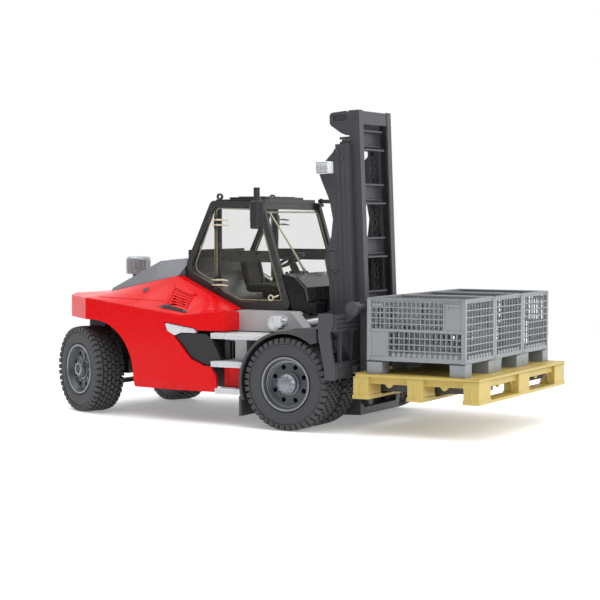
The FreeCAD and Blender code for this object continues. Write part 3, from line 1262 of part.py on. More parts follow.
def build():
    """All nodes by name, in the working frame."""
    tail, right, left = red_body()
    stem, cap = air_filter()
    tyres, front_rim, front_cap = front_wheel()
    rear_tyre, rear_rim = rear_wheel()
    nodes = {
        "chassis_frame": chassis_frame(), "front_axle": front_axle(), "rear_axle": rear_axle(),
        "rear_body_shell": tail, "side_panel_right": right, "side_panel_left": left,
        "engine_block": engine_block(), "engine_hood": engine_hood(),
        "air_filter_stem": stem, "air_filter_cap": cap,
        "accent_panels": pair(accent_panel()), "badge_panels": pair(badge_panel()),
        "side_boxes": pair(side_box()), "steps_left": steps(), "steps_right": mirrored(steps()),
        "fender_left": fender(), "fender_right": mirrored(fender()),
        "headlamps": pair(headlamp()), "cab_base": cab_base(), "cab_frame": cab_frame(),
        "cab_roof": cab_roof(), "windscreen": windscreen(), "wiper": wiper(),
        "cab_glazing": cab_glazing(), "front_cowl": front_cowl(),
        "driver_seat": driver_seat(), "steering_column": steering_column(),
        "steering_wheel": steering_wheel(), "door_left": door(), "door_right": mirrored(door()),
        "mirror_left": mirror(), "mirror_right": mirrored(mirror()),
        "front_tyres_left": tyres, "front_tyres_right": mirrored(tyres),
        "front_rim_left": front_rim, "front_rim_right": mirrored(front_rim),
        "front_hub_cap_left": front_cap, "front_hub_cap_right": mirrored(front_cap),
        "rear_tyre_left": steered(rear_tyre, 1), "rear_tyre_right": steered(rear_tyre, -1),
        "rear_rim_left": steered(rear_rim, 1), "rear_rim_right": steered(rear_rim, -1),
        "knuckle_left": steered(knuckle(), 1), "knuckle_right": steered(knuckle(), -1),
        "tie_rod": tie_rod(),
        "outer_mast": leaned(join(outer_mast(), tilt_lugs())),
        "mast_fairings": leaned(pair(fairing())), "mast_lamps": leaned(pair(mast_lamp())),
        "inner_mast": leaned(inner_mast()), "lift_chains": leaned(lift_chains()),
        "tilt_barrels": pair(tilt_barrel()), "tilt_rods": pair(tilt_rod()),
        "carriage": carriage(), "fork_shaft": fork_shaft(),
        "fork_left": fork(), "fork_right": mirrored(fork()),
        "pallet": pallet(),
    }
    for name, row in (("right", -1), ("middle", 0), ("left", 1)):
        nodes["crate_" + name] = crate(row * (CRATE_W + CRATE_GAP))
    return nodes


def main():
    nodes = build()
    box = Part.makeCompound(list(nodes.values())).BoundBox
    shift = vec(-(box.XMin + box.XMax) / 2, -(box.YMin + box.YMax) / 2, -box.ZMin)
    os.makedirs("parts", exist_ok=True)
    for name, shape in nodes.items():
        placed = shape.copy()
        placed.translate(shift)
        placed.exportStep("parts/" + name + ".step")
    print("nodes", len(nodes), "box", box)
    print("shift", shift.x, shift.y, shift.z)


main()
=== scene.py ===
"""Looks of the 1:16 toy forklift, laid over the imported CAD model.

Lengths are millimetres in the truck's own frame: origin on the ground under the front
axle, +X towards the forks, +Y to the driver's left, +Z up.  Everything is moved by one
datum offset and turned to metres when a mesh is made.
"""

import json
import logging
import math
from dataclasses import dataclass, field
from enum import Enum
from typing import ClassVar

import bmesh
import bpy
import numpy as np
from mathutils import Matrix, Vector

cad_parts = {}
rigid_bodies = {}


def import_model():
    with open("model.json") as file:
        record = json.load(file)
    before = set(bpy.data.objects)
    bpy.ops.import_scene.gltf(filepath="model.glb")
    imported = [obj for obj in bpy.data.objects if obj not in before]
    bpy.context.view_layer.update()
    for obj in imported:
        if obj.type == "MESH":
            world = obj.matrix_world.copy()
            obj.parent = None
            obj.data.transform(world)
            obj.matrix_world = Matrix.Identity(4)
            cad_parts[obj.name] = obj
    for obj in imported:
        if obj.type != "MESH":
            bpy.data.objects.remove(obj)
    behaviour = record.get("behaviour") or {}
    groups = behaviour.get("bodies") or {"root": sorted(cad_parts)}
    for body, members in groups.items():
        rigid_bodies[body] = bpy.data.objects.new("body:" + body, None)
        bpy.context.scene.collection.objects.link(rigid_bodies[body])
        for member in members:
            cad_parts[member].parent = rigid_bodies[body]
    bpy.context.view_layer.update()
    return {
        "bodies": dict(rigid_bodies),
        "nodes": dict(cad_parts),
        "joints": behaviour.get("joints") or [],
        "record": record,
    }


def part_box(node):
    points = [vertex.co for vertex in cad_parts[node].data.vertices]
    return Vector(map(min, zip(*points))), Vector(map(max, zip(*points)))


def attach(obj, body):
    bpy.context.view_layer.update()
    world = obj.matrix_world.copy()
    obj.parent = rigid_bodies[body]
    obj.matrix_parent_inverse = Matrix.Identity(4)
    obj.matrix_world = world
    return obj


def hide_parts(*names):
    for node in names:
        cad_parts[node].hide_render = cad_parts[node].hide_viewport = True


LOG = logging.getLogger("forklift")
MM = 0.001
Array = np.ndarray


# ---- surfaces --------------------------------------------------------------------------
@dataclass
class Shell:
    """Closed shells: vertices in millimetres and blocks of faces with equal corner counts."""

    verts: Array
    faces: list

    def turned(self, matrix: Array) -> "Shell":
        """Copy with every vertex multiplied by a 3x3 matrix."""
        return Shell(self.verts @ np.asarray(matrix).T, self.faces)

    def shifted(self, *offset: float) -> "Shell":
        """Copy moved by (x, y, z)."""
        return Shell(self.verts + np.array(offset, float), self.faces)

    def mirrored(self) -> "Shell":
        """Copy reflected in the truck's middle plane, y to -y."""
        return self.turned(np.diag([1.0, -1.0, 1.0]))

    def both_sides(self) -> "Shell":
        """The shell and its mirror image."""
        return merged(self, self.mirrored())

    def scattered(self, turns: Array, offsets: Array) -> "Shell":
        """Copies placed by v' = turn v + offset, all worked out at once.

        Args:
            turns: (n, 3, 3) rotation matrices.
            offsets: (n, 3) places.

        Returns:
            One shell that holds all n copies.
        """
        count, size = len(offsets), len(self.verts)
        verts = np.einsum("nij,vj->nvi", turns, self.verts) + offsets[:, None, :]
        steps = (np.arange(count) * size)[:, None, None]
        return Shell(verts.reshape(-1, 3),
                     [(f[None] + steps).reshape(-1, f.shape[1]) for f in self.faces])

    def copied_to(self, places: Array) -> "Shell":
        """Unturned copies at the (n, 3) places."""
        return self.scattered(np.broadcast_to(np.eye(3), (len(places), 3, 3)), places)


def merged(*shells: Shell) -> Shell:
    """One shell that holds all the given ones."""
    starts = np.cumsum([0] + [len(s.verts) for s in shells])
    faces = [f + start for s, start in zip(shells, starts) for f in s.faces]
    return Shell(np.concatenate([s.verts for s in shells]), faces)


def turn(axis: str, degrees: Array | float) -> Array:
    """Rotation matrices about x, y or z: (3, 3) for one angle, (n, 3, 3) for n angles."""
    a = np.radians(np.asarray(degrees, float))
    c, s, one, nil = np.cos(a), np.sin(a), np.ones_like(a), np.zeros_like(a)
    rows = {"x": [[one, nil, nil], [nil, c, -s], [nil, s, c]],
            "y": [[c, nil, s], [nil, one, nil], [-s, nil, c]],
            "z": [[c, -s, nil], [s, c, nil], [nil, nil, one]]}[axis]
    return np.moveaxis(np.array(rows), (0, 1), (-2, -1))


def grid_faces(rows: int, columns: int, wrap_rows: bool, wrap_columns: bool) -> Array:
    """Quads over a grid of vertices numbered row by row; a wrapped way closes on itself."""
    r = np.arange(rows if wrap_rows else rows - 1)[:, None]
    c = np.arange(columns if wrap_columns else columns - 1)[None, :]
    r2, c2 = (r + 1) % rows, (c + 1) % columns
    quad = [r * columns + c, r * columns + c2, r2 * columns + c2, r2 * columns + c]
    return np.stack(quad, -1).reshape(-1, 4)


def boxes(low: Array, high: Array) -> Shell:
    """Rectangular bars: vertex = low + corner * (high - low) for the eight 0/1 corners."""
    low, high = np.atleast_2d(np.asarray(low, float)), np.atleast_2d(np.asarray(high, float))
    corner = np.array([[x, y, z] for x in (0, 1) for y in (0, 1) for z in (0, 1)], float)
    verts = low[:, None, :] + corner[None] * (high - low)[:, None, :]
    quads = np.array([[0, 1, 3, 2], [4, 6, 7, 5], [0, 4, 5, 1], [2, 3, 7, 6], [0, 2, 6, 4],
                      [1, 5, 7, 3]])
    steps = (np.arange(len(low)) * 8)[:, None, None]
    return Shell(verts.reshape(-1, 3), [(quads[None] + steps).reshape(-1, 4)])


def bars(spans: list) -> Shell:
    """Rectangular bars from a list of (low corner, high corner)."""
    ends = np.array(spans, float)
    return boxes(ends[:, 0], ends[:, 1])


def bar_row(low: tuple, high: tuple, axis: str, places: Array) -> Shell:
    """The bar from low to high, repeated along x, y or z: both corners move by each place."""
    steps = np.zeros((len(places), 3))
    steps[:, "xyz".index(axis)] = places
    return boxes(np.array(low, float) + steps, np.array(high, float) + steps)


def lathe(profile: Array | list, steps: int = 64) -> Shell:
    """Closed (radius, y) profile turned about the Y axis: x = r cos a, z = r sin a."""
    p = np.array(profile, float)
    a = np.linspace(0, 2 * np.pi, steps, endpoint=False)[:, None]
    verts = np.stack([p[:, 0] * np.cos(a), np.broadcast_to(p[:, 1], (steps, len(p))),
                      p[:, 0] * np.sin(a)], -1)
    return Shell(verts.reshape(-1, 3), [grid_faces(steps, len(p), True, True)])


def plate(outline: list, thickness: tuple, axis: str = "y") -> Shell:
    """Flat outline carried along x, y or z from thickness[0] to thickness[1].

    Args:
        outline: corner points in the plane across the axis, in (x, y, z) order.
        thickness: the two ends along the axis.
        axis: the way it is carried.

    Returns:
        A closed prism.
    """
    p = np.array(outline, float)
    k, at = len(p), "xyz".index(axis)
    ends = [np.insert(p, at, end, axis=1) for end in thickness]
    i = np.arange(k)
    walls = np.stack([i, (i + 1) % k, (i + 1) % k + k, i + k], -1)
    return Shell(np.concatenate(ends), [walls, np.stack([i[::-1], i + k])])


def rounded(points: list, radius: float, steps: int = 5) -> list:
    """Outline with each corner replaced by a parabola between points radius along its sides."""
    p = np.array(points, float)
    back, ahead = np.roll(p, 1, 0) - p, np.roll(p, -1, 0) - p
    lb, la = np.linalg.norm(back, axis=1), np.linalg.norm(ahead, axis=1)
    start = p + back * (np.minimum(radius, lb * 0.45) / lb)[:, None]
    end = p + ahead * (np.minimum(radius, la * 0.45) / la)[:, None]
    t = np.linspace(0, 1, steps)[None, :, None]
    curve = (1 - t) ** 2 * start[:, None] + 2 * t * (1 - t) * p[:, None] + t ** 2 * end[:, None]
    return curve.reshape(-1, p.shape[1]).tolist()


def swept(path: Array, radius: float | Array, sides: int = 10, closed: bool = False) -> Shell:
    """Round bar along a path: point + radius (u cos a + v sin a), u and v square to the path.

    Args:
        path: (n, 3) points.
        radius: one radius, or one for each point.
        sides: points round the bar.
        closed: whether the path joins its own start.

    Returns:
        The bar, its ends closed by flat caps when the path is open.
    """
    p = np.asarray(path, float)
    along = np.roll(p, -1, 0) - np.roll(p, 1, 0)
    if not closed:
        along[0], along[-1] = p[1] - p[0], p[-1] - p[-2]
    along /= np.linalg.norm(along, axis=1)[:, None]
    least = np.eye(3)[np.argmin(np.abs(along).max(0))]
    u = np.cross(along, least)
    u /= np.linalg.norm(u, axis=1)[:, None]
    v = np.cross(along, u)
    a = np.linspace(0, 2 * np.pi, sides, endpoint=False)[None, :, None]
    r = np.broadcast_to(np.asarray(radius, float), (len(p),))[:, None, None]
    verts = p[:, None] + r * (u[:, None] * np.cos(a) + v[:, None] * np.sin(a))
    faces = [grid_faces(len(p), sides, closed, True)]
    if not closed:
        ring = np.arange(sides)
        faces.append(np.stack([ring[::-1], ring + (len(p) - 1) * sides]))
    return Shell(verts.reshape(-1, 3), faces)


def pillow(half: tuple, roundness: float, steps: int = 28) -> Shell:
    """Crowned block: half size times signed powers of cos and sin (a superellipsoid).

    Args:
        half: half sizes along x, y and z.
        roundness: 1 gives an ellipsoid, near 0 a square block.
        steps: points from pole to pole.

    Returns:
        The closed surface about its own centre.
    """
    v = np.linspace(-np.pi / 2, np.pi / 2, steps)[:, None]
    u = np.linspace(-np.pi, np.pi, 2 * steps, endpoint=False)[None, :]

    def power(value: Array) -> Array:
        return np.sign(value) * np.abs(value) ** roundness

    x, y = power(np.cos(v)) * power(np.cos(u)), power(np.cos(v)) * power(np.sin(u))
    z = np.broadcast_to(power(np.sin(v)), x.shape)
    verts = np.stack([x * half[0], y * half[1], z * half[2]], -1)
    return Shell(verts.reshape(-1, 3), [grid_faces(steps, 2 * steps, False, True)])


def disc(radius: float, y0: float, y1: float, steps: int = 24, crown: float = 0.0) -> Shell:
    """Round cap about the Y axis whose outer face is crowned by a cosine of the radius."""
    r = np.linspace(radius, 0, 5)
    top = y1 + crown * np.cos(r / radius * np.pi / 2)
    return lathe([(0, y0), (radius, y0)] + list(zip(r, top)), steps)


def ring_path(centre: tuple, u: tuple, v: tuple, radius: float, steps: int = 28) -> Array:
    """Circle: centre + radius (u cos a + v sin a)."""
    a = np.linspace(0, 2 * np.pi, steps, endpoint=False)[:, None]
    return np.array(centre) + radius * (np.array(u) * np.cos(a) + np.array(v) * np.sin(a))


# ---- finishes --------------------------------------------------------------------------
def linear(code: str, alpha: float = 1.0) -> tuple:
    """sRGB hex code as a linear RGBA colour."""
    c = np.array([int(code[i:i + 2], 16) for i in (1, 3, 5)]) / 255
    c = np.where(c <= 0.04045, c / 12.92, ((c + 0.055) / 1.055) ** 2.4)
    return (*c.tolist(), alpha)


def add_node(tree: bpy.types.NodeTree, kind: str, links: dict | None = None,
             **settings: object) -> bpy.types.Node:
    """Adds one node.

    Args:
        tree: the node tree.
        kind: Blender's name for the node, without its ShaderNode prefix.
        links: input name or number to the output socket that feeds it.
        settings: node properties; a name that ends in _in is an input's value, its
            underscores read as spaces.

    Returns:
        The new node.
    """
    made = tree.nodes.new("ShaderNode" + kind)
    for name, value in settings.items():
        if name.endswith("_in"):
            made.inputs[name[:-3].replace("_", " ")].default_value = value
        else:
            setattr(made, name, value)
    for name, socket in (links or {}).items():
        tree.links.new(socket, made.inputs[name])
    return made


@dataclass(frozen=True)
class Moulding:
    """Finish of an injection-moulded part.

    The eye gets a soft orange peel from the mould's polish, faint flow mottling in the
    colour, uneven gloss from handling, and a paler line where edges are rounded, partly
    rubbing and partly a painted highlight.
    """

    name: str
    hex: str
    roughness: float = 0.4
    grain: float = 0.12        # strength of the surface grain
    grain_mm: float = 0.5      # coarser than the real 0.1 mm spark grain, so that it shows
    mottle: float = 0.06       # how far the colour drifts
    edge: float = 0.12         # how much paler rounded edges are: rubbing and painted highlight
    edge_mm: float = 0.35
    metallic: float = 0.0
    coat: float = 0.0
    ior: float = 1.53          # ABS
    specular: float = 0.5
    alpha: float = 1.0
    subsurface: float = 0.0
    flow_mm: ClassVar[float] = 14.0      # size of the colour's drift
    smear_mm: ClassVar[float] = 5.0      # size of the handling marks in the gloss
    peel_mm: ClassVar[float] = 0.15      # height of the surface grain
    depth_mm: ClassVar[float] = 1.2      # how deep light goes into waxy plastic
    gloss_spread: ClassVar[tuple] = (-0.06, 0.08)    # the marks' change of roughness
    coat_roughness: ClassVar[float] = 0.08
    rub: ClassVar[tuple] = (1.6, 0.10)               # gain and lift of the paler edge colour: rubbing and painted highlight
    round_cosines: ClassVar[tuple] = (0.985, 0.8)    # flat face against rounded normal

    def material(self) -> bpy.types.Material:
        """The Blender material, made once."""
        found = bpy.data.materials.get(self.name)
        if found:
            return found
        made = bpy.data.materials.new(self.name)
        made.use_nodes = True
        tree = made.node_tree
        tree.nodes.clear()
        place = add_node(tree, "TexCoord").outputs["Object"]
        grain = add_node(tree, "TexNoise", {"Vector": place}, Scale_in=1 / (self.grain_mm * MM),
                         Detail_in=2.0, Roughness_in=0.6)
        flow = add_node(tree, "TexNoise", {"Vector": place}, Scale_in=1 / (self.flow_mm * MM),
                        Detail_in=4.0, Roughness_in=0.55)
        smear = add_node(tree, "TexNoise", {"Vector": place}, Scale_in=1 / (self.smear_mm * MM),
                         Detail_in=5.0, Roughness_in=0.7)
        base = np.array(linear(self.hex))[:3]
        colour = add_node(tree, "Mix", {"Factor": flow.outputs["Fac"]}, data_type="RGBA",
                          A_in=(*base * (1 - self.mottle), 1),
                          B_in=(*np.minimum(base * (1 + self.mottle), 1), 1))
        soft = add_node(tree, "Bevel", samples=4, Radius_in=self.edge_mm * MM)
        flat = add_node(tree, "NewGeometry")
        alike = add_node(tree, "VectorMath", {0: soft.outputs["Normal"],
                                              1: flat.outputs["Normal"]}, operation="DOT_PRODUCT")
        # rim: the rounded edges, where the colour is mixed paler: partly rubbing, partly a painted
        # highlight
        rim = add_node(tree, "MapRange", {"Value": alike.outputs["Value"]},
                       From_Min_in=self.round_cosines[0], From_Max_in=self.round_cosines[1],
                       To_Max_in=self.edge)
        worn_and_sheen = add_node(tree, "Mix", {"Factor": rim.outputs["Result"],
                                      "A": colour.outputs["Result"]}, data_type="RGBA",
                        B_in=(*np.minimum(base * self.rub[0] + self.rub[1], 1), 1))
        gloss = add_node(tree, "MapRange", {"Value": smear.outputs["Fac"]},
                         From_Min_in=0.3, From_Max_in=0.7,
                         To_Min_in=max(self.roughness + self.gloss_spread[0], 0.03),
                         To_Max_in=self.roughness + self.gloss_spread[1])
        bump = add_node(tree, "Bump", {"Height": grain.outputs["Fac"],
                                       "Normal": soft.outputs["Normal"]},
                        Strength_in=self.grain, Distance_in=self.peel_mm * MM)
        shader = add_node(tree, "BsdfPrincipled",
                          {"Base Color": worn_and_sheen.outputs["Result"],
                           "Roughness": gloss.outputs["Result"],
                           "Normal": bump.outputs["Normal"]},
                          Metallic_in=self.metallic, IOR_in=self.ior,
                          Specular_IOR_Level_in=self.specular, Alpha_in=self.alpha,
                          Coat_Weight_in=self.coat, Coat_Roughness_in=self.coat_roughness,
                          Subsurface_Weight_in=self.subsurface,
                          Subsurface_Scale_in=self.depth_mm * MM)
        add_node(tree, "OutputMaterial", {"Surface": shader.outputs["BSDF"]})
        return made


class Finish(Enum):
    """The toy's finishes."""

    # Glossy red ABS: deep saturated body colour under a wet-looking surface.
    RED = Moulding("red_gloss_abs", "#D80810", roughness=0.24, grain=0.012, grain_mm=0.9,
                   mottle=0.04, edge=0.30, coat=0.05, specular=0.12)
    # Charcoal ABS with spark grain: the mast, carriage and forks scatter light softly.
    CHARCOAL = Moulding("charcoal_grained_abs", "#3E3F44", roughness=0.42, grain=0.14,
                        mottle=0.10, edge=0.50)
    # Fender compound: a little darker and more matt than the mast.
    FENDER = Moulding("dark_grey_soft_abs", "#3A3B3E", roughness=0.42, grain=0.12, edge=0.28)
    # Cab frame: dark olive grey with a satin shine.
    CAB = Moulding("cab_frame_satin_abs", "#303231", roughness=0.30, grain=0.06, edge=0.38)
    # Hood: satin slate grey that takes a broad highlight.
    SLATE = Moulding("slate_satin_abs", "#62656C", roughness=0.36, grain=0.05, edge=0.25)
    # Black ABS polished in the mould: the scuttle mirrors the room.
    BLACK_GLOSS = Moulding("black_polished_abs", "#161619", roughness=0.24, grain=0.01,
                           mottle=0.1, edge=0.12, coat=0.1, specular=0.3)
    # Black chassis plastic: dull, to stay in the background.
    BLACK = Moulding("black_matt_abs", "#1C1D20", roughness=0.50, grain=0.18, edge=0.25)
    # Light grey ABS of the plinth and boxes.
    LIGHT_GREY = Moulding("light_grey_satin_abs", "#ABACAE", roughness=0.34, grain=0.07,
                          edge=0.22)
    # Silver-white compound of steps, blades and headlamps: mica flakes give a pale sheen.
    PEARL = Moulding("silver_white_mica_abs", "#D3D5D8", roughness=0.30, grain=0.03,
                     mottle=0.015, edge=0.25, metallic=0.25)
    # White ABS of the lamps on the mast: the brightest spots of the whole truck.
    LAMP_WHITE = Moulding("white_lamp_abs", "#F4F5F7", roughness=0.30, grain=0.02, mottle=0.01,
                          edge=0.10)
    # Silver compound of the air filter and the tilt rods: brighter flakes, near metal.
    SILVER = Moulding("silver_flake_abs", "#A6A9AD", roughness=0.30, grain=0.08, mottle=0.05,
                      edge=0.35, metallic=0.55)
    # Rim dishes: dark grey compound with a dull metal shine.
    RIM_GREY = Moulding("rim_grey_flake_abs", "#4B4F55", roughness=0.36, grain=0.08,
                        mottle=0.08, edge=0.45, metallic=0.45)
    # Rim lips, hub caps and nuts: the same compound in a paler grey.
    LIP_GREY = Moulding("rim_lip_flake_abs", "#84888E", roughness=0.30, grain=0.06,
                        mottle=0.12, edge=0.40, metallic=0.55)
    # Tyre vinyl: soft matt compound, darker in the grooves, with mottled colour; the blocks'
    # rounded edges are paler, partly a painted highlight.
    TYRE = Moulding("tyre_soft_vinyl", "#3D3E41", roughness=0.62, grain=0.35, grain_mm=0.8,
                    mottle=0.14, edge=0.22, edge_mm=0.25, ior=1.50)
    # Crate: blue-grey polypropylene, waxy and slightly translucent.
    CRATE = Moulding("crate_polypropylene", "#888D91", roughness=0.40, grain=0.08,
                     mottle=0.05, edge=0.30, edge_mm=0.25, ior=1.49, subsurface=0.04)
    # Pallet: pale yellow polypropylene with a waxy surface.
    PALLET = Moulding("pallet_polypropylene", "#BFA85B", roughness=0.42, grain=0.10,
                      mottle=0.05, edge=0.25, ior=1.49, subsurface=0.05)
    # Smoke-tinted clear styrene, thin enough to look almost colourless.
    CLEAR = Moulding("smoke_clear_styrene", "#5E5B4C", roughness=0.06, grain=0.0, mottle=0.02,
                     edge=0.0, ior=1.59, alpha=0.07)
    # The same styrene where it is thick: creamy edges, loops and the wiper; the cream of
    # the edges and loops is partly a painted highlight.
    CREAM = Moulding("thick_clear_styrene", "#D9D2B4", roughness=0.16, grain=0.03,
                     mottle=0.05, edge=0.4, ior=1.59, coat=0.4, alpha=0.85)
    # Window seams: the clear part's rounded rim, olive where the frame shows through it;
    # its pale, nearly opaque colour is partly a painted highlight along the window edge.
    SEAM = Moulding("clear_rim_styrene", "#8E8870", roughness=0.18, grain=0.03, mottle=0.08,
                    edge=0.5, ior=1.59, coat=0.3, alpha=0.70)
    # Lamp lenses and mirror faces: vacuum-plated.
    CHROME = Moulding("vacuum_plated_lens", "#E4E7EA", roughness=0.14, grain=0.05,
                      mottle=0.02, edge=0.1, metallic=0.9)
    # Red styrene of the tail lamps: clear and deep, so that it glints.
    LENS_RED = Moulding("red_lens_styrene", "#9E0F12", roughness=0.12, grain=0.04, coat=0.6,
                        ior=1.59, edge=0.1)


# ---- the truck that pieces are hung on -------------------------------------------------
@dataclass
class Truck:
    """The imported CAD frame, its datum offset and the way pieces are added to it."""

    frame: dict
    offset: Array = field(default_factory=lambda: np.zeros(3))
    weld_m: ClassVar[float] = 1e-7           # vertices nearer than this become one
    bevel_degrees: ClassVar[float] = 40.0    # edges sharper than this are rounded

    def __post_init__(self) -> None:
        low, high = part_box("front_tyres_right")
        self.offset = np.array([(low[0] + high[0]) / 2 / MM, 0.0, 0.0])

    def box(self, node: str) -> tuple[Array, Array]:
        """Lowest and highest corner of a CAD node in the truck's millimetres."""
        low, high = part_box(node)
        return np.array(low) / MM - self.offset, np.array(high) / MM - self.offset

    def add(self, name: str, shell: Shell, finish: Finish, body: str, slot: str,
            replaces: tuple = (), bevel: float = 0.0, crease: float = 38.0) -> bpy.types.Object:
        """Makes a piece from a shell and hangs it on a CAD body.

        Args:
            name: the piece's name.
            shell: its closed shells, in millimetres.
            finish: what it is made of.
            body: the CAD body that it rides on.
            slot: the record's material slot that it belongs to; not used.
            replaces: CAD nodes that it stands for.
            bevel: width of the rounded edges in millimetres, 0 for none.
            crease: faces that meet at a smaller angle are shaded smooth, in degrees.

        Returns:
            The new object.
        """
        mesh = bpy.data.meshes.new(name)
        faces = [corner for block in shell.faces for corner in block.tolist()]
        mesh.from_pydata(((shell.verts + self.offset) * MM).tolist(), [], faces)
        work = bmesh.new()
        work.from_mesh(mesh)
        bmesh.ops.remove_doubles(work, verts=work.verts, dist=self.weld_m)
        bmesh.ops.recalc_face_normals(work, faces=work.faces)
        work.to_mesh(mesh)
        work.free()
        mesh.polygons.foreach_set("use_smooth", np.ones(len(mesh.polygons), bool))
        mesh.set_sharp_from_angle(angle=math.radians(crease))
        made = bpy.data.objects.new(name, mesh)
        bpy.context.scene.collection.objects.link(made)
        mesh.materials.append(finish.value.material())
        if bevel:
            round_edges = made.modifiers.new("rounded_edges", "BEVEL")
            round_edges.width, round_edges.segments = bevel * MM, 1
            round_edges.limit_method = "ANGLE"
            round_edges.angle_limit = math.radians(self.bevel_degrees)
        if replaces:
            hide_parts(*replaces)
        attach(made, body)
        LOG.info("%s: %d faces on %s", name, len(faces), body)
        return made

    def dress(self, finish: Finish, *nodes: str) -> None:
        """Gives CAD nodes a finish, leaving their meshes alone."""
        for node in nodes:
            slots = self.frame["nodes"][node].data.materials
            slots.clear()
            slots.append(finish.value.material())


class Side(Enum):
    """Side of the truck; the value is the sign of y."""

    RIGHT = -1
    LEFT = 1

    @property
    def word(self) -> str:
        """The side's name in lower case."""
        return self.name.lower()

    def shell(self, left: Shell) -> Shell:
        """A left-hand shell as this side has it."""
        return left if self is Side.LEFT else left.mirrored()


SIDES = (Side.RIGHT, Side.LEFT)


# ---- wheels ----------------------------------------------------------------------------
@dataclass
class Tyre:
    """Truck tyre: bulged walls with rings, and staggered rows of tread blocks."""

    width: float
    radius: float = 35.0
    bead: float = 20.25
    blocks: int = 42
    block_depth: float = 1.9
    block_gap: float = 0.7
    shoulder: float = 4.2
    taper: tuple = (0.86, 0.88)    # a block's top against its foot, along and across
    slant: float = 0.36
    ring_height: float = 0.35
    rings: tuple = ((21.9, 0.35), (24.0, 0.3), (29.6, 0.35), (30.6, 0.25))  # radius, width

    def carcass(self) -> Shell:
        """Walls and tread base.

        The outline runs from bead to bead; a sum of bell curves exp(-((r - r0) / w)^2)
        raises rings on the walls.
        """
        h, r = self.width / 2, self.radius
        base = r - self.block_depth
        key = np.array([(self.bead, h - 1.9), (21.6, h - 0.7), (24.5, h - 0.15), (28.0, h - 0.1),
                        (31.0, h - 0.8), (base - 0.6, h - 2.0), (base, h - 4.2), (base, 0.0)])
        t = np.linspace(0, len(key) - 1, 60)
        rad = np.interp(t, np.arange(len(key)), key[:, 0])
        y = np.interp(t, np.arange(len(key)), key[:, 1])
        rings = sum(self.ring_height * np.exp(-((rad - r0) / w) ** 2) for r0, w in self.rings)
        y = np.where(t < 5, y - 0.25 + rings, y)
        half = np.stack([rad, y], -1)
        full = np.concatenate([half, half[-2::-1] * [1, -1]])
        return lathe(full, 96)

    def tread(self) -> Shell:
        """Four rows of tapered blocks, every second one half a pitch on, and shoulder lugs.

        One block is eight corners; copies turn about the axle by whole pitches.
        """
        h, r, depth = self.width / 2, self.radius, self.block_depth
        pitch = 2 * math.pi * r / self.blocks
        row = (self.width - 9.6) / 4
        parts = []
        for i in range(6):
            shoulder = i in (0, 5)
            span = self.shoulder if shoulder else row - self.block_gap
            mid = (h - 2.1) * (1 if i == 5 else -1) if shoulder else (i - 2.5) * row
            length = pitch * (0.72 if shoulder else 0.80)
            low, top = r - depth - 0.4, r
            foot = boxes([[-length / 2, mid - span / 2, low]], [[length / 2, mid + span / 2, top]])
            v = foot.verts.copy()
            upper = v[:, 2] > low + 1
            v[upper, 0] *= self.taper[0]
            v[upper, 1] = mid + (v[upper, 1] - mid) * self.taper[1]
            if not shoulder:
                v[:, 0] += (v[:, 1] - mid) * (self.slant if i % 2 else -self.slant)
            if shoulder:
                outer = np.abs(v[:, 1]) > h - 1.2
                v[outer & upper, 2] -= 0.7
                v[outer & ~upper, 2] -= 2.3
            angles = (np.arange(self.blocks) + 0.5 * (i % 2)) * 360 / self.blocks
            parts.append(Shell(v, foot.faces).scattered(
                turn("y", angles), np.zeros((self.blocks, 3))))
        return merged(*parts)

    def shell(self) -> Shell:
        """Carcass and tread about the wheel's own centre, axle along Y."""
        return merged(self.carcass(), self.tread())


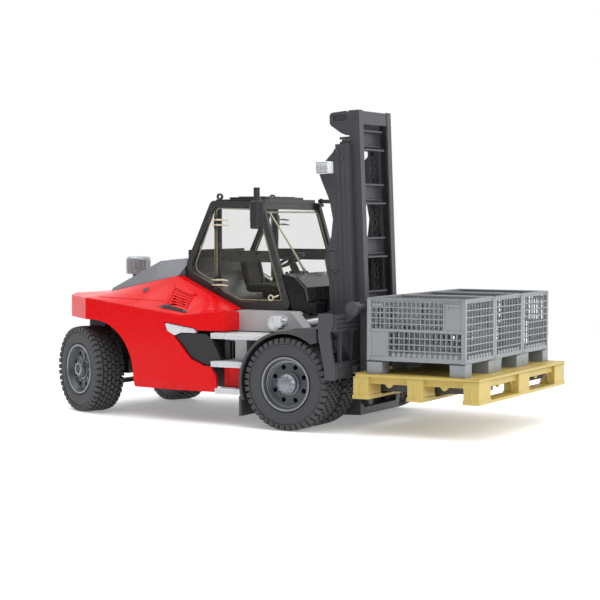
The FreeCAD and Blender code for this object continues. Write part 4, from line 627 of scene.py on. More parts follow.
@dataclass
class Wheels:
    """Front twin wheels and steered rear wheels."""

    steer: float = -25.5
    front_width: float = 25.0
    rear_width: float = 24.5
    dish_front: float = 7.5
    dish_rear: float = 5.0
    bolts: int = 10
    lip_radius: float = 19.6
    lip_height: float = 0.85
    lip_inset: float = 1.3
    dish_steps: tuple = ((15.9, 0.2), (16.5, 2.0), (17.0, 3.8))    # radius, and how far out

    def rolled_lip(self, face: float, width: float) -> Shell:
        """Rolled outer edge of a rim: an oval section turned about the axle."""
        a = np.linspace(0, 2 * np.pi, 14, endpoint=False)
        return lathe(np.stack([self.lip_radius + self.lip_height * np.cos(a),
                               face - self.lip_inset + width * np.sin(a)], -1), 72)

    def bolt_ring(self, radius: float, face: float, size: float, height: float) -> Shell:
        """Domed nuts on a circle about the axle."""
        nut = disc(size, face - 0.4, face + height, 8, 0.25)
        angles = np.arange(self.bolts) * 360 / self.bolts
        rad = np.radians(angles)
        places = np.stack([radius * np.cos(rad), 0 * rad, radius * np.sin(rad)], -1)
        return nut.scattered(turn("y", -angles), places)

    def build(self, truck: Truck) -> None:
        """Builds tyres, lips, steps, bolts and caps, and dresses the rims."""
        for side in SIDES:
            self.front(truck, side)
            self.rear(truck, side)
        truck.dress(Finish.RIM_GREY, "front_rim_left", "front_rim_right", "rear_rim_left",
                    "rear_rim_right")
        truck.dress(Finish.LIP_GREY, "front_hub_cap_left", "front_hub_cap_right")
        truck.dress(Finish.BLACK, "knuckle_left", "knuckle_right", "tie_rod", "rear_axle",
                    "front_axle", "chassis_frame")

    def front(self, truck: Truck, side: Side) -> None:
        """Twin tyres, rim lip, dish steps and hub bolts of one front wheel."""
        node = f"front_tyres_{side.word}"
        body = f"front_wheel_{side.word}"
        low, high = truck.box(node)
        z = (low[2] + high[2]) / 2
        half = self.front_width / 2
        outer = max(abs(low[1]), abs(high[1]))
        inner = min(abs(low[1]), abs(high[1]))
        one = Tyre(self.front_width).shell()
        pair = merged(one.shifted(0, outer - half, z), one.shifted(0, inner + half, z))
        truck.add(f"tyre_tread_front_{side.word}", side.shell(pair), Finish.TYRE, body, "tyre",
                  (node,))
        lip = self.rolled_lip(outer, 0.9)
        truck.add(f"rim_lip_front_{side.word}", side.shell(lip.shifted(0, 0, z)),
                  Finish.LIP_GREY, body, "rim_dark")
        y = outer - self.dish_front
        steps = merged(*[lathe([(r0, y + d0), (r0 + 0.9, y + d0 + 0.2), (r0 + 1.3, y + d0 + 1.4),
                                (r0 + 1.9, y + d0 + 1.4), (r0 + 1.9, y + d0 - 0.8),
                                (r0, y + d0 - 0.8)], 64)
                         for r0, d0 in self.dish_steps])
        truck.add(f"rim_steps_front_{side.word}", side.shell(steps.shifted(0, 0, z)),
                  Finish.LIP_GREY, body, "rim_dark")
        top = outer - 0.4
        hub = merged(self.bolt_ring(6.2, top - 0.9, 0.85, 0.75).shifted(0, 0, z),
                     disc(4.3, top - 0.9, top + 0.25, 36, 0.35).shifted(0, 0, z),
                     lathe([(7.9, y), (8.7, y), (8.7, y + 1.1), (7.9, y + 1.5)], 48)
                     .shifted(0, 0, z))
        truck.add(f"hub_bolts_front_{side.word}", side.shell(hub), Finish.LIP_GREY, body,
                  "silver_plastic")

    def rear(self, truck: Truck, side: Side) -> None:
        """Tyre, lip, bolts and hub of one steered rear wheel."""
        node = f"rear_tyre_{side.word}"
        body = f"rear_wheel_{side.word}"
        low, high = truck.box(node)
        centre = (low + high) / 2
        half = self.rear_width / 2
        face = half - self.dish_rear

        def placed(shell: Shell) -> Shell:
            return side.shell(shell).turned(turn("z", self.steer)).shifted(*centre)

        truck.add(f"tyre_tread_rear_{side.word}", placed(Tyre(self.rear_width).shell()),
                  Finish.TYRE, body, "tyre", (node,))
        truck.add(f"rim_lip_rear_{side.word}", placed(self.rolled_lip(half, 1.1)),
                  Finish.LIP_GREY, body, "rim_silver")
        hub = merged(self.bolt_ring(10.2, face, 0.95, 0.9),
                     lathe([(7.4, face), (8.8, face), (8.6, face + 1.2), (7.4, face + 1.5)], 48),
                     lathe([(3.4, half - 1.4), (5.6, half - 1.4), (5.2, half - 0.1),
                            (3.8, half + 0.1)], 40),
                     self.bolt_ring(6.7, half - 1.2, 0.5, 0.5))
        truck.add(f"hub_bolts_rear_{side.word}", placed(hub), Finish.LIP_GREY, body,
                  "rim_silver")
        truck.add(f"hub_bore_rear_{side.word}", placed(disc(3.5, half - 1.2, half - 0.45, 32)),
                  Finish.BLACK, body, "rim_silver")


# ---- load ------------------------------------------------------------------------------
@dataclass
class CageCrate:
    """Stackable cage crate: frame, mesh walls, blank label plates, slotted floor, feet."""

    post: float = 3.2
    rim_height: float = 3.0
    wall: float = 1.8
    foot: float = 12.0
    foot_height: float = 9.6
    floor: float = 2.0
    bar: float = 0.85
    tooth: float = 2.6

    def mesh(self, u: tuple, v: tuple, columns: int, rows: int, comb: bool) -> Shell:
        """Mesh in a (u, v) window: square-set uprights behind, thinner rails in front.

        Args:
            u: first and last u.
            v: first and last v.
            columns: openings along u.
            rows: openings along v.
            comb: whether a row of broad teeth stands on the lower edge.

        Returns:
            Bars in (u, depth, v) order with depth from 0, the outer face, inwards.
        """
        at = np.linspace(u[0], u[1], columns + 1)[1:-1]
        up = np.linspace(v[0], v[1], rows + 1)[1:-1]
        w = self.bar / 2
        uprights = bar_row((-w, 0.7, v[0]), (w, 1.7, v[1]), "x", at)
        rails = bar_row((u[0], 0.0, -w), (u[1], 0.9, w), "z", up)
        if not comb:
            return merged(uprights, rails)
        half_tooth = (at[1] - at[0]) * 0.34
        teeth = bar_row((-half_tooth, 0.2, v[0]), (half_tooth, 1.4, v[0] + self.tooth), "x", at)
        return merged(uprights, rails, teeth)

    def long_side(self, length: float, height: float) -> Shell:
        """One long wall in (u, depth, v), u from 0 to length, v above the floor line."""
        p, top = self.post, height - self.rim_height
        mid, low = height * 0.49, 3.4
        near, far = length * 0.205, length * 0.79    # inner edges of the two blank plates
        solid = bars([((p - 0.6, 0, mid - 1.0), (length - p + 0.6, 1.7, mid + 1.0)),
                      ((p - 0.6, 0, 0), (length - p + 0.6, 1.8, low)),
                      ((far, 0.5, mid), (length - p, 1.5, top)),
                      ((far - 1.2, 0.1, mid), (far, 1.7, top)),
                      ((p, 0.5, low), (near, 1.5, mid)),
                      ((near, 0.1, low), (near + 1.2, 1.7, mid)),
                      ((far + 0.8, -0.25, top - 2.4), (length - p - 1.2, 0.6, top - 0.8)),
                      ((far + 0.8, -0.25, top - 4.0), (far + 3.0, 0.6, top - 2.2)),
                      ((p + 1.0, -0.25, top - 3.2), (p + 9.0, 0.6, top - 1.2))])
        return merged(solid,
                      self.mesh((p, far - 1.2), (mid + 1.0, top), 16, 5, False),
                      self.mesh((near + 1.2, length - p), (low, mid - 1.0), 14, 4, True))

    def end_side(self, length: float, height: float) -> Shell:
        """One short wall in (u, depth, v)."""
        p, top = self.post, height - self.rim_height
        return merged(bars([((p - 0.6, 0, 0), (length - p + 0.6, 1.8, 3.0))]),
                      self.mesh((p, length - p), (3.0, top), 9, 8, True))

    def frame(self, size: Array) -> Shell:
        """Posts, double-lipped rim, floor grid and hollow-looking feet."""
        lx, ly, lz = size
        p, z0, f = self.post, self.foot_height, self.foot
        top = lz - self.rim_height
        spans = [((x, y, z0), (x + p, y + p, lz - 1)) for x in (0, lx - p) for y in (0, ly - p)]
        for y in (0, ly - p):
            spans += [((0, y, lz - 1.1), (lx, y + p, lz)),
                      ((1, y + 0.8, top), (lx - 1, y + 2.4, lz))]
        for x in (0, lx - p):
            spans += [((x, 0, lz - 1.1), (x + p, ly, lz)),
                      ((x + 0.8, 1, top), (x + 2.4, ly - 1, lz))]
        rim = 1.2    # the floor stands back from the walls' outer faces
        spans.append(((rim, rim, z0), (lx - rim, ly - rim, z0 + 0.9)))
        low, high = z0 + 0.4, z0 + self.floor
        ribs = merged(bar_row((-0.5, rim, low), (0.5, ly - rim, high), "x",
                              np.linspace(5, lx - 5, 15)),
                      bar_row((rim, -0.5, low), (lx - rim, 0.5, high), "y",
                              np.linspace(5, ly - 5, 10)))
        feet = []
        for x in (0, lx - f):
            for y in (0, ly - f):
                feet += [((x, y, 0), (x + f, y + f, z0 + 0.5)),
                         ((x, y, z0 - 0.9), (x + f, y + f, z0))]
        return merged(bars(spans), ribs, bars(feet))

    def shell(self, size: Array) -> Shell:
        """The whole crate from its low corner."""
        lx, ly, lz = size
        z0 = self.foot_height
        near = self.long_side(lx, lz - z0).shifted(0, 0, z0)
        far = near.turned(turn("z", 180)).shifted(lx, ly, 0)
        end = self.end_side(ly, lz - z0).turned(turn("z", 90)).shifted(lx, 0, z0)
        back = end.turned(turn("z", 180)).shifted(lx, ly, 0)
        return merged(self.frame(size), near, far, end, back)

    def build(self, truck: Truck) -> None:
        """Builds the three crates where the CAD crates stand."""
        for name in ("right", "middle", "left"):
            node = f"crate_{name}"
            low, high = truck.box(node)
            truck.add(f"cage_{name}", self.shell(high - low).shifted(*low), Finish.CRATE, node,
                      "crate_plastic", (node,), bevel=0.12)


@dataclass
class Pallet:
    """Moulded pallet: nine flanged blocks, base boards, gussets and a slotted deck."""

    block_length: float = 13.0
    block_width: float = 22.8
    base: float = 2.2
    stringer: float = 2.8
    deck: float = 4.5
    edge: float = 2.3
    recess: float = 3.0
    rail: float = 1.6      # thickness of the long side rails
    boards: int = 18
    slot: float = 1.1      # half the gap between two deck boards

    def gusset(self, at: float, under: float, drop: float, ends: tuple, axis: str) -> Shell:
        """Blunt triangle that hangs below a stringer.

        Args:
            at: where its middle is along the stringer.
            under: level of the stringer's lower face.
            drop: how far it hangs down.
            ends: its two faces along the axis.
            axis: the way across the stringer.

        Returns:
            A closed prism.
        """
        outline = [(at - 3.6, under + 0.4), (at - 0.8, under - drop),
                   (at + 0.8, under - drop), (at + 3.6, under + 0.4)]
        return plate(outline, ends, axis)

    def build(self, truck: Truck) -> None:
        """Builds the pallet in the space of the CAD one."""
        low, high = truck.box("pallet")
        lx, ly, lz = high - low
        bl, bw, base, edge = self.block_length, self.block_width, self.base, lz - self.edge
        under = lz - self.deck - self.stringer
        xs, ys = [0, (lx - bl) / 2, lx - bl], [0, (ly - bw) / 2, ly - bw]
        spans, gussets = [], []
        for x, out_0, out_1 in zip(xs, (self.recess, 0, 0), (0, 0, self.recess)):
            middle = x + bl / 2
            spans += [((x, 0, 0), (x + bl, ly, base)),
                      ((x + out_0, 0.4, under), (x + bl - out_1, ly - 0.4, edge + 0.2))]
            for y in ys:
                spans += [((x + 0.5, y + 0.5, base - 0.3),
                           (x + bl - 0.5, y + bw - 0.5, edge + 0.2)),
                          ((x, y, base - 0.3), (x + bl, y + bw, base + 1.0)),
                          ((middle - 0.7, y, base), (middle + 0.7, y + bw, under))]
            for y, way in ((bw, 1), (ys[1], -1), (ys[1] + bw, 1), (ys[2], -1)):
                corner = [(y, under + 0.4), (y, under - 4.0), (y + way * 4.5, under + 0.4)]
                gussets.append(plate(corner, (middle - 0.8, middle + 0.8), "x"))
            for y in ((bw + ys[1]) / 2, (ys[1] + bw + ys[2]) / 2):
                gussets.append(self.gusset(y, under, 2.6, (middle - 1, middle + 1), "x"))
        for x0, x1 in ((bl, xs[1]), (xs[1] + bl, xs[2])):
            for y in (self.recess, ly - self.rail - self.recess):
                spans.append(((x0 - 0.5, y, under + 0.2), (x1 + 0.5, y + self.rail, lz - 0.5)))
                gussets.append(self.gusset((x0 + x1) / 2, under, 2.4, (y, y + self.rail), "y"))
        rim = self.recess
        spans += [((0, 0, edge), (lx, rim, lz)), ((0, ly - rim, edge), (lx, ly, lz)),
                  ((0, 0, edge), (rim, ly, lz)), ((lx - rim, 0, edge), (lx, ly, lz))]
        cuts = np.linspace(rim, ly - rim, self.boards + 1)
        spans += [((1, y0 + self.slot, edge), (lx - 1, y1 - self.slot, lz - 0.15))
                  for y0, y1 in zip(cuts[:-1], cuts[1:])]
        inset = self.recess + 0.6    # clear of the rails, so that no two faces coincide
        cross = bar_row((0, inset, lz - self.deck), (6.0, ly - inset, lz - 0.4), "x",
                        np.linspace(8, lx - 14, 6))
        shell = merged(bars(spans), cross, *gussets).shifted(*low)
        truck.add("pallet_moulding", shell, Finish.PALLET, "pallet", "pallet_plastic",
                  ("pallet",), bevel=0.25)


# ---- mast ------------------------------------------------------------------------------
@dataclass
class Mast:
    """Details of the leaning mast, worked out upright and then leaned about its foot pin."""

    lean: float = 2.28
    pivot: tuple = (21.0, 14.0)
    top: float = 240.6
    beam_height: float = 16.0
    beam_pitch: float = 41.4
    beam_gap: float = 14.6
    beams: int = 4
    lip_reach: float = 17.2     # inside the carriage's slide shoes
    rear: float = 29.0
    front: float = 38.0
    chain_y: float = 15.5
    chain_foot: float = 64.0
    link_pitch: float = 4.1
    rail_y: float = 34.0        # outer face of the outer rail

    def leaned(self, shell: Shell) -> Shell:
        """The shell turned back about the foot pin."""
        x, z = self.pivot
        return shell.shifted(-x, 0, -z).turned(turn("y", -self.lean)).shifted(x, 0, z)

    def beam_lips(self) -> Shell:
        """Lips that make each cross beam a channel, and a shelf behind each."""
        spans, w, rear = [], self.lip_reach, self.rear
        for i in range(self.beams):
            top = self.top - self.beam_gap - self.beam_pitch * i
            foot = top - self.beam_height
            spans += [((rear, -w, top - 1.5), (self.front - 2.6, w, top)),
                      ((rear, -w, foot), (self.front - 1.6, w, foot + 1.5)),
                      ((rear, -w, top - 13.0), (rear + 4.5, w, top - 12.0))]
        return bars(spans)

    def chain(self) -> Shell:
        """Twisted-link chain: oval wire links, each turned a quarter from the last.

        A link is the path (0, a cos t, b sin t) swept by a thin round section.
        """
        a = np.linspace(0, 2 * np.pi, 14, endpoint=False)
        link = swept(np.stack([0 * a, 1.25 * np.cos(a), 2.9 * np.sin(a)], -1), 0.55, 6, True)
        head = self.top - self.beam_gap - self.beam_height - 4.5
        z = np.arange(self.chain_foot, head, self.link_pitch)
        turns = turn("z", np.where(np.arange(len(z)) % 2, 45.0, -45.0))
        places = np.stack([0 * z + self.rear - 2.0, 0 * z + self.chain_y, z], -1)
        return link.scattered(turns, places)

    def rail_trim(self) -> Shell:
        """Foot plate bolts and wear pads on the outer rails."""
        y = self.rail_y
        places = np.array([[25.0, y, z] for z in (24.0, 30.5, 58.0, 64.5, 96.0, 204.0)])
        pads = bar_row((22.5, y, 0.0), (28.0, y + 0.5, 13.0), "z", np.array([20.5, 54.5]))
        return merged(disc(1.5, 0, 1.0, 6, 0.3).copied_to(places), pads)

    def fairing_trim(self) -> Shell:
        """Two raised welts and a hose on the wing-shaped guards."""
        t = np.linspace(0, 1, 16)
        parts = []
        for z0, bow in ((133.5, 1.6), (118.5, -1.4)):
            path = np.stack([9.2 + 9.8 * t, 0 * t + self.rail_y + 0.2,
                             z0 + bow * np.sin(np.pi * t)], -1)
            parts.append(swept(path, 0.55, 8))
        hose = np.stack([13.5 + 2.0 * np.sin(np.pi * t), 0 * t + self.rail_y - 0.6,
                         78 + 38 * t], -1)
        parts.append(swept(hose, 0.9, 10))
        return merged(*parts)

    def lamp_lens(self) -> Shell:
        """Square lens and bezel on each mast lamp, facing outwards and forwards."""
        bezel = boxes([[6.9, 40.8, 193.3]], [[16.8, 41.9, 201.7]])
        ribs = bar_row((0, 41.8, 194.2), (0.8, 42.2, 200.8), "x", np.linspace(7.8, 15.0, 6))
        return merged(bezel, ribs)

    def build(self, truck: Truck) -> None:
        """Builds the mast details and dresses the mast's nodes."""
        truck.add("mast_beam_lips", self.leaned(self.beam_lips()), Finish.CHARCOAL,
                  "inner_mast", "mast_plastic", bevel=0.2)
        truck.add("lift_chain_links", self.leaned(self.chain().both_sides()), Finish.BLACK,
                  "inner_mast", "mast_plastic", ("lift_chains",))
        truck.add("mast_rail_bolts", self.leaned(self.rail_trim().both_sides()),
                  Finish.CHARCOAL, "mast", "mast_plastic", bevel=0.12)
        truck.add("fairing_welts", self.leaned(self.fairing_trim().both_sides()),
                  Finish.CHARCOAL, "mast", "mast_plastic")
        truck.add("mast_lamp_lenses", self.leaned(self.lamp_lens().both_sides()),
                  Finish.CHROME, "mast", "lamp_plastic", bevel=0.2)
        truck.dress(Finish.CHARCOAL, "outer_mast", "mast_fairings", "inner_mast", "carriage",
                    "fork_shaft", "fork_left", "fork_right")
        truck.dress(Finish.SILVER, "tilt_rods")
        truck.dress(Finish.PEARL, "tilt_barrels")
        truck.dress(Finish.LAMP_WHITE, "mast_lamps")
        self.carriage(truck)

    def carriage(self, truck: Truck) -> None:
        """Ribs and bolts of the fork carriage."""
        z = truck.box("carriage")[0][2]
        ribs = bar_row((40.6, -0.8, z + 11.5), (43.4, 0.8, z + 38.0), "y",
                       np.array([-84, -66, -40, -14, 14, 40, 66, 84]))
        bolt = disc(1.7, 0, 1.2, 6, 0.3).turned(turn("z", -90))
        nuts = bolt.copied_to(np.array([(43.9, y, z + 9.8) for y in (-88, -4, 4, 88)]))
        truck.add("carriage_ribs", merged(ribs, nuts), Finish.CHARCOAL, "carriage",
                  "mast_plastic", bevel=0.15)


# ---- cab -------------------------------------------------------------------------------
@dataclass
class Cab:
    """Door beads, hinge clips, handles, wiper, seat, mirrors and roof details."""

    half_width: float = 48.0
    sill: float = 87.2
    hinge_x: float = -86.0
    hinge_levels: tuple = (20.6, 67.8)
    door_outline: tuple = ((-86.3, 166.2), (-48.9, 165.1), (-27.2, 94.6), (-65.8, 94.6),
                           (-86.3, 105.2))
    quarter_outline: tuple = ((-89.6, 165.5), (-107.6, 122.2), (-106.4, 116.4), (-89.6, 107.8))
    screen: tuple = ((-22.9, 92.5), (-45.0, 163.0))
    screen_half: float = 43.4
    loop_radius: float = 2.75
    loop_rise: float = 2.0      # each hinge's two loops stand this far above and below it
    mirror_x: float = -40.15
    roof_z: float = 174.9
    lever_pitch: float = 4.0

    def bead(self, outline: tuple, y: float, radius: float, corner: float) -> Shell:
        """Thin rounded bar round a window outline."""
        path = [(x, y, z) for x, z in outline]
        return swept(np.array(rounded(path, corner)), radius, 8, True)

    def clips(self) -> Shell:
        """Left door's hinge loops: two rings and a strap at each hinge."""
        parts = []
        x, y = self.hinge_x, self.half_width + 1.9
        for level in self.hinge_levels:
            z = self.sill + level
            strap = np.array([(x + 1.5, y + 1.2, z), (x + 6, y - 0.4, z),
                              (x + 11.0, y - 1.1, z - 0.6)])
            for rise in (-self.loop_rise, self.loop_rise):
                loop = ring_path((x, y, z + rise), (1, 0, 0), (0, 1, 0), self.loop_radius, 20)
                parts += [swept(loop, 0.5, 6, True),
                          swept(strap + [0, 0, rise], [0.8, 0.8, 0.5], 8)]
        return merged(*parts)

    def handle(self) -> Shell:
        """Ring pull with a short tongue near the left door's lower front corner."""
        centre = (-36.0, self.half_width + 1.6, self.sill + 9.6)
        ring = swept(ring_path(centre, (1, 0, 0), (0, 0, 1), 2.0, 24), 0.65, 8, True)
        tongue = swept(np.array([(-33.4, 48.9, 97.2), (-31.0, 48.6, 98.2), (-29.6, 48.2, 98.9)]),
                       [0.7, 0.7, 0.5], 8)
        return merged(ring, tongue)

    def wiper(self, truck: Truck) -> Shell:
        """Flat arm, blade and pivot along the screen, corner to corner of the CAD wiper."""
        low, high = truck.box("wiper")
        a = np.array([high[0] - 0.9, high[1] - 1.3, low[2] + 1.2])
        b = np.array([low[0] + 1.2, low[1] + 1.2, high[2] - 1.0])
        t = np.linspace(0, 1, 24)[:, None]
        bow = np.array([0.5, 0, 0.15]) * np.sin(np.pi * t)
        arm = swept(a + (b - a) * t + bow, np.interp(t[:, 0], (0, 0.5, 1), (1.0, 0.75, 0.5)), 8)
        blade = swept(a + (b - a) * (0.42 + 0.55 * t) + [-0.25, 0.9, -0.4], 0.4, 6)
        pivot = disc(1.6, -0.8, 0.9, 20, 0.3).turned(turn("z", -90)).shifted(*a)
        return merged(arm, blade, pivot)

    def seat(self, truck: Truck) -> Shell:
        """Crowned cushion, winged backrest with a waist roll, and pedestal."""
        low = truck.box("driver_seat")[0]
        tilt = turn("y", -13.0)
        back = [((2.6, 11.0, 15.0), 0.45, (7.6, 0, 28)), ((2.9, 2.3, 14.0), 0.6, (8.6, 10.8, 27)),
                ((2.9, 2.3, 14.0), 0.6, (8.6, -10.8, 27)), ((1.6, 8.4, 2.0), 0.6, (10.2, 0, 20)),
                ((1.6, 8.4, 2.0), 0.6, (8.9, 0, 26))]
        cushion = [((12.4, 10.5, 3.0), 0.42, (22.5, 0, 13)),
                   ((12.0, 2.4, 3.6), 0.55, (22, 11.4, 13.4)),
                   ((12.0, 2.4, 3.6), 0.55, (22, -11.4, 13.4)),
                   ((1.4, 8.5, 1.0), 0.6, (20, 0, 15.7)), ((1.4, 8.5, 1.0), 0.6, (27, 0, 15.7))]
        base = bars([((24.6, -10.6, 0.1), (32.2, 10.6, 10)), ((13, -12, 9.7), (34, 12, 11.2))])
        whole = merged(*[pillow(half, soft).turned(tilt).shifted(*at) for half, soft, at in back],
                       *[pillow(half, soft).shifted(*at) for half, soft, at in cushion], base)
        return whole.shifted(low[0], 0, low[2])

    def mirror_face(self, truck: Truck, side: Side) -> Shell:
        """Plated face on the rear of one mirror housing."""
        low, high = truck.box(f"mirror_{side.word}")
        out = max(abs(low[1]), abs(high[1]))
        face = pillow((0.5, 3.9, 8.6), 0.4).shifted(self.mirror_x, out - 5.0, high[2] - 20.3)
        return side.shell(face)

    def roof_ribs(self) -> Shell:
        """Shallow swages along the roof."""
        return bar_row((-80.0, -1.2, self.roof_z - 0.6), (-56.0, 1.2, self.roof_z + 0.7), "y",
                       np.linspace(-24, 24, 5))

    def dash(self) -> Shell:
        """Instrument pod and levers beside the steering column."""
        levers = []
        for i in range(3):
            foot, y = -60.0 + self.lever_pitch * i, 17.5
            levers += [swept([(foot, y, 100.0), (foot + 0.5, y, 112.0 + i)], 0.7, 8),
                       pillow((1.5, 1.5, 1.7), 0.9, 10).shifted(foot + 0.5, y, 113.0 + i)]
        box = bars([((-64.0, 14.6, 89.6), (-48.0, 20.6, 101.0))])
        pod = pillow((2.4, 8.0, 3.6), 0.4).turned(turn("y", -25)).shifted(-34.6, 0, 112.5)
        return merged(*levers, box, pod)

    def back_and_mat(self) -> Shell:
        """Panel below the rear window, and the floor mat."""
        return bars([((-115.7, -43.0, 110.5), (-114.9, 43.0, 133.0)),
                     ((-66.0, -43.0, 87.3), (-22.0, 43.0, 88.1))])

    def build(self, truck: Truck) -> None:
        """Builds the cab details and dresses the cab's nodes."""
        for side in SIDES:
            door = f"door_{side.word}"
            y = self.half_width - 0.8
            bead = self.bead(self.door_outline, y, 0.6, 3.0)
            # pale bead round the door pane: partly a painted highlight along its edge
            truck.add(f"door_bead_{side.word}", side.shell(bead), Finish.SEAM, door,
                      "clear_plastic")
            clips = merged(self.clips(), self.handle())
            # cream hinge loops and handle: partly a painted highlight on the clear door
            truck.add(f"door_clips_{side.word}", side.shell(clips), Finish.CREAM, door,
                      "clear_plastic")
            face = self.mirror_face(truck, side)
            truck.add(f"mirror_face_{side.word}", face, Finish.CHROME, f"mirror_{side.word}",
                      "black_plastic")
        quarter = self.bead(self.quarter_outline, self.half_width - 3.2, 0.6, 2.2)
        (xa, za), (xb, zb) = self.screen
        y = self.screen_half
        screen = [(xa, -y, za), (xb, -y, zb), (xb, y, zb), (xa, y, za)]
        edge = swept(np.array(rounded(screen, 3.0)), 0.7, 8, True)
        # pale beads round the quarter windows and screen: partly a painted highlight along their
        # edges
        truck.add("window_beads", merged(quarter.both_sides(), edge), Finish.SEAM, "chassis",
                  "clear_plastic")
        truck.add("wiper_arm", self.wiper(truck), Finish.CREAM, "chassis", "cab_plastic",
                  ("wiper",))
        truck.add("seat_moulding", self.seat(truck), Finish.BLACK, "chassis", "black_plastic",
                  ("driver_seat",), crease=60)
        truck.add("roof_ribs", self.roof_ribs(), Finish.CAB, "chassis", "cab_plastic",
                  bevel=0.4)
        truck.add("dash_and_levers", self.dash(), Finish.BLACK, "chassis", "black_plastic",
                  bevel=0.4)
        truck.add("cab_back_and_mat", self.back_and_mat(), Finish.BLACK, "chassis",
                  "black_plastic")
        truck.dress(Finish.CAB, "cab_frame", "cab_roof")
        truck.dress(Finish.CLEAR, "windscreen", "cab_glazing", "door_left", "door_right")
        truck.dress(Finish.BLACK_GLOSS, "front_cowl")
        truck.dress(Finish.BLACK, "steering_column", "steering_wheel", "mirror_left",
                    "mirror_right")
        truck.dress(Finish.LIGHT_GREY, "cab_base")


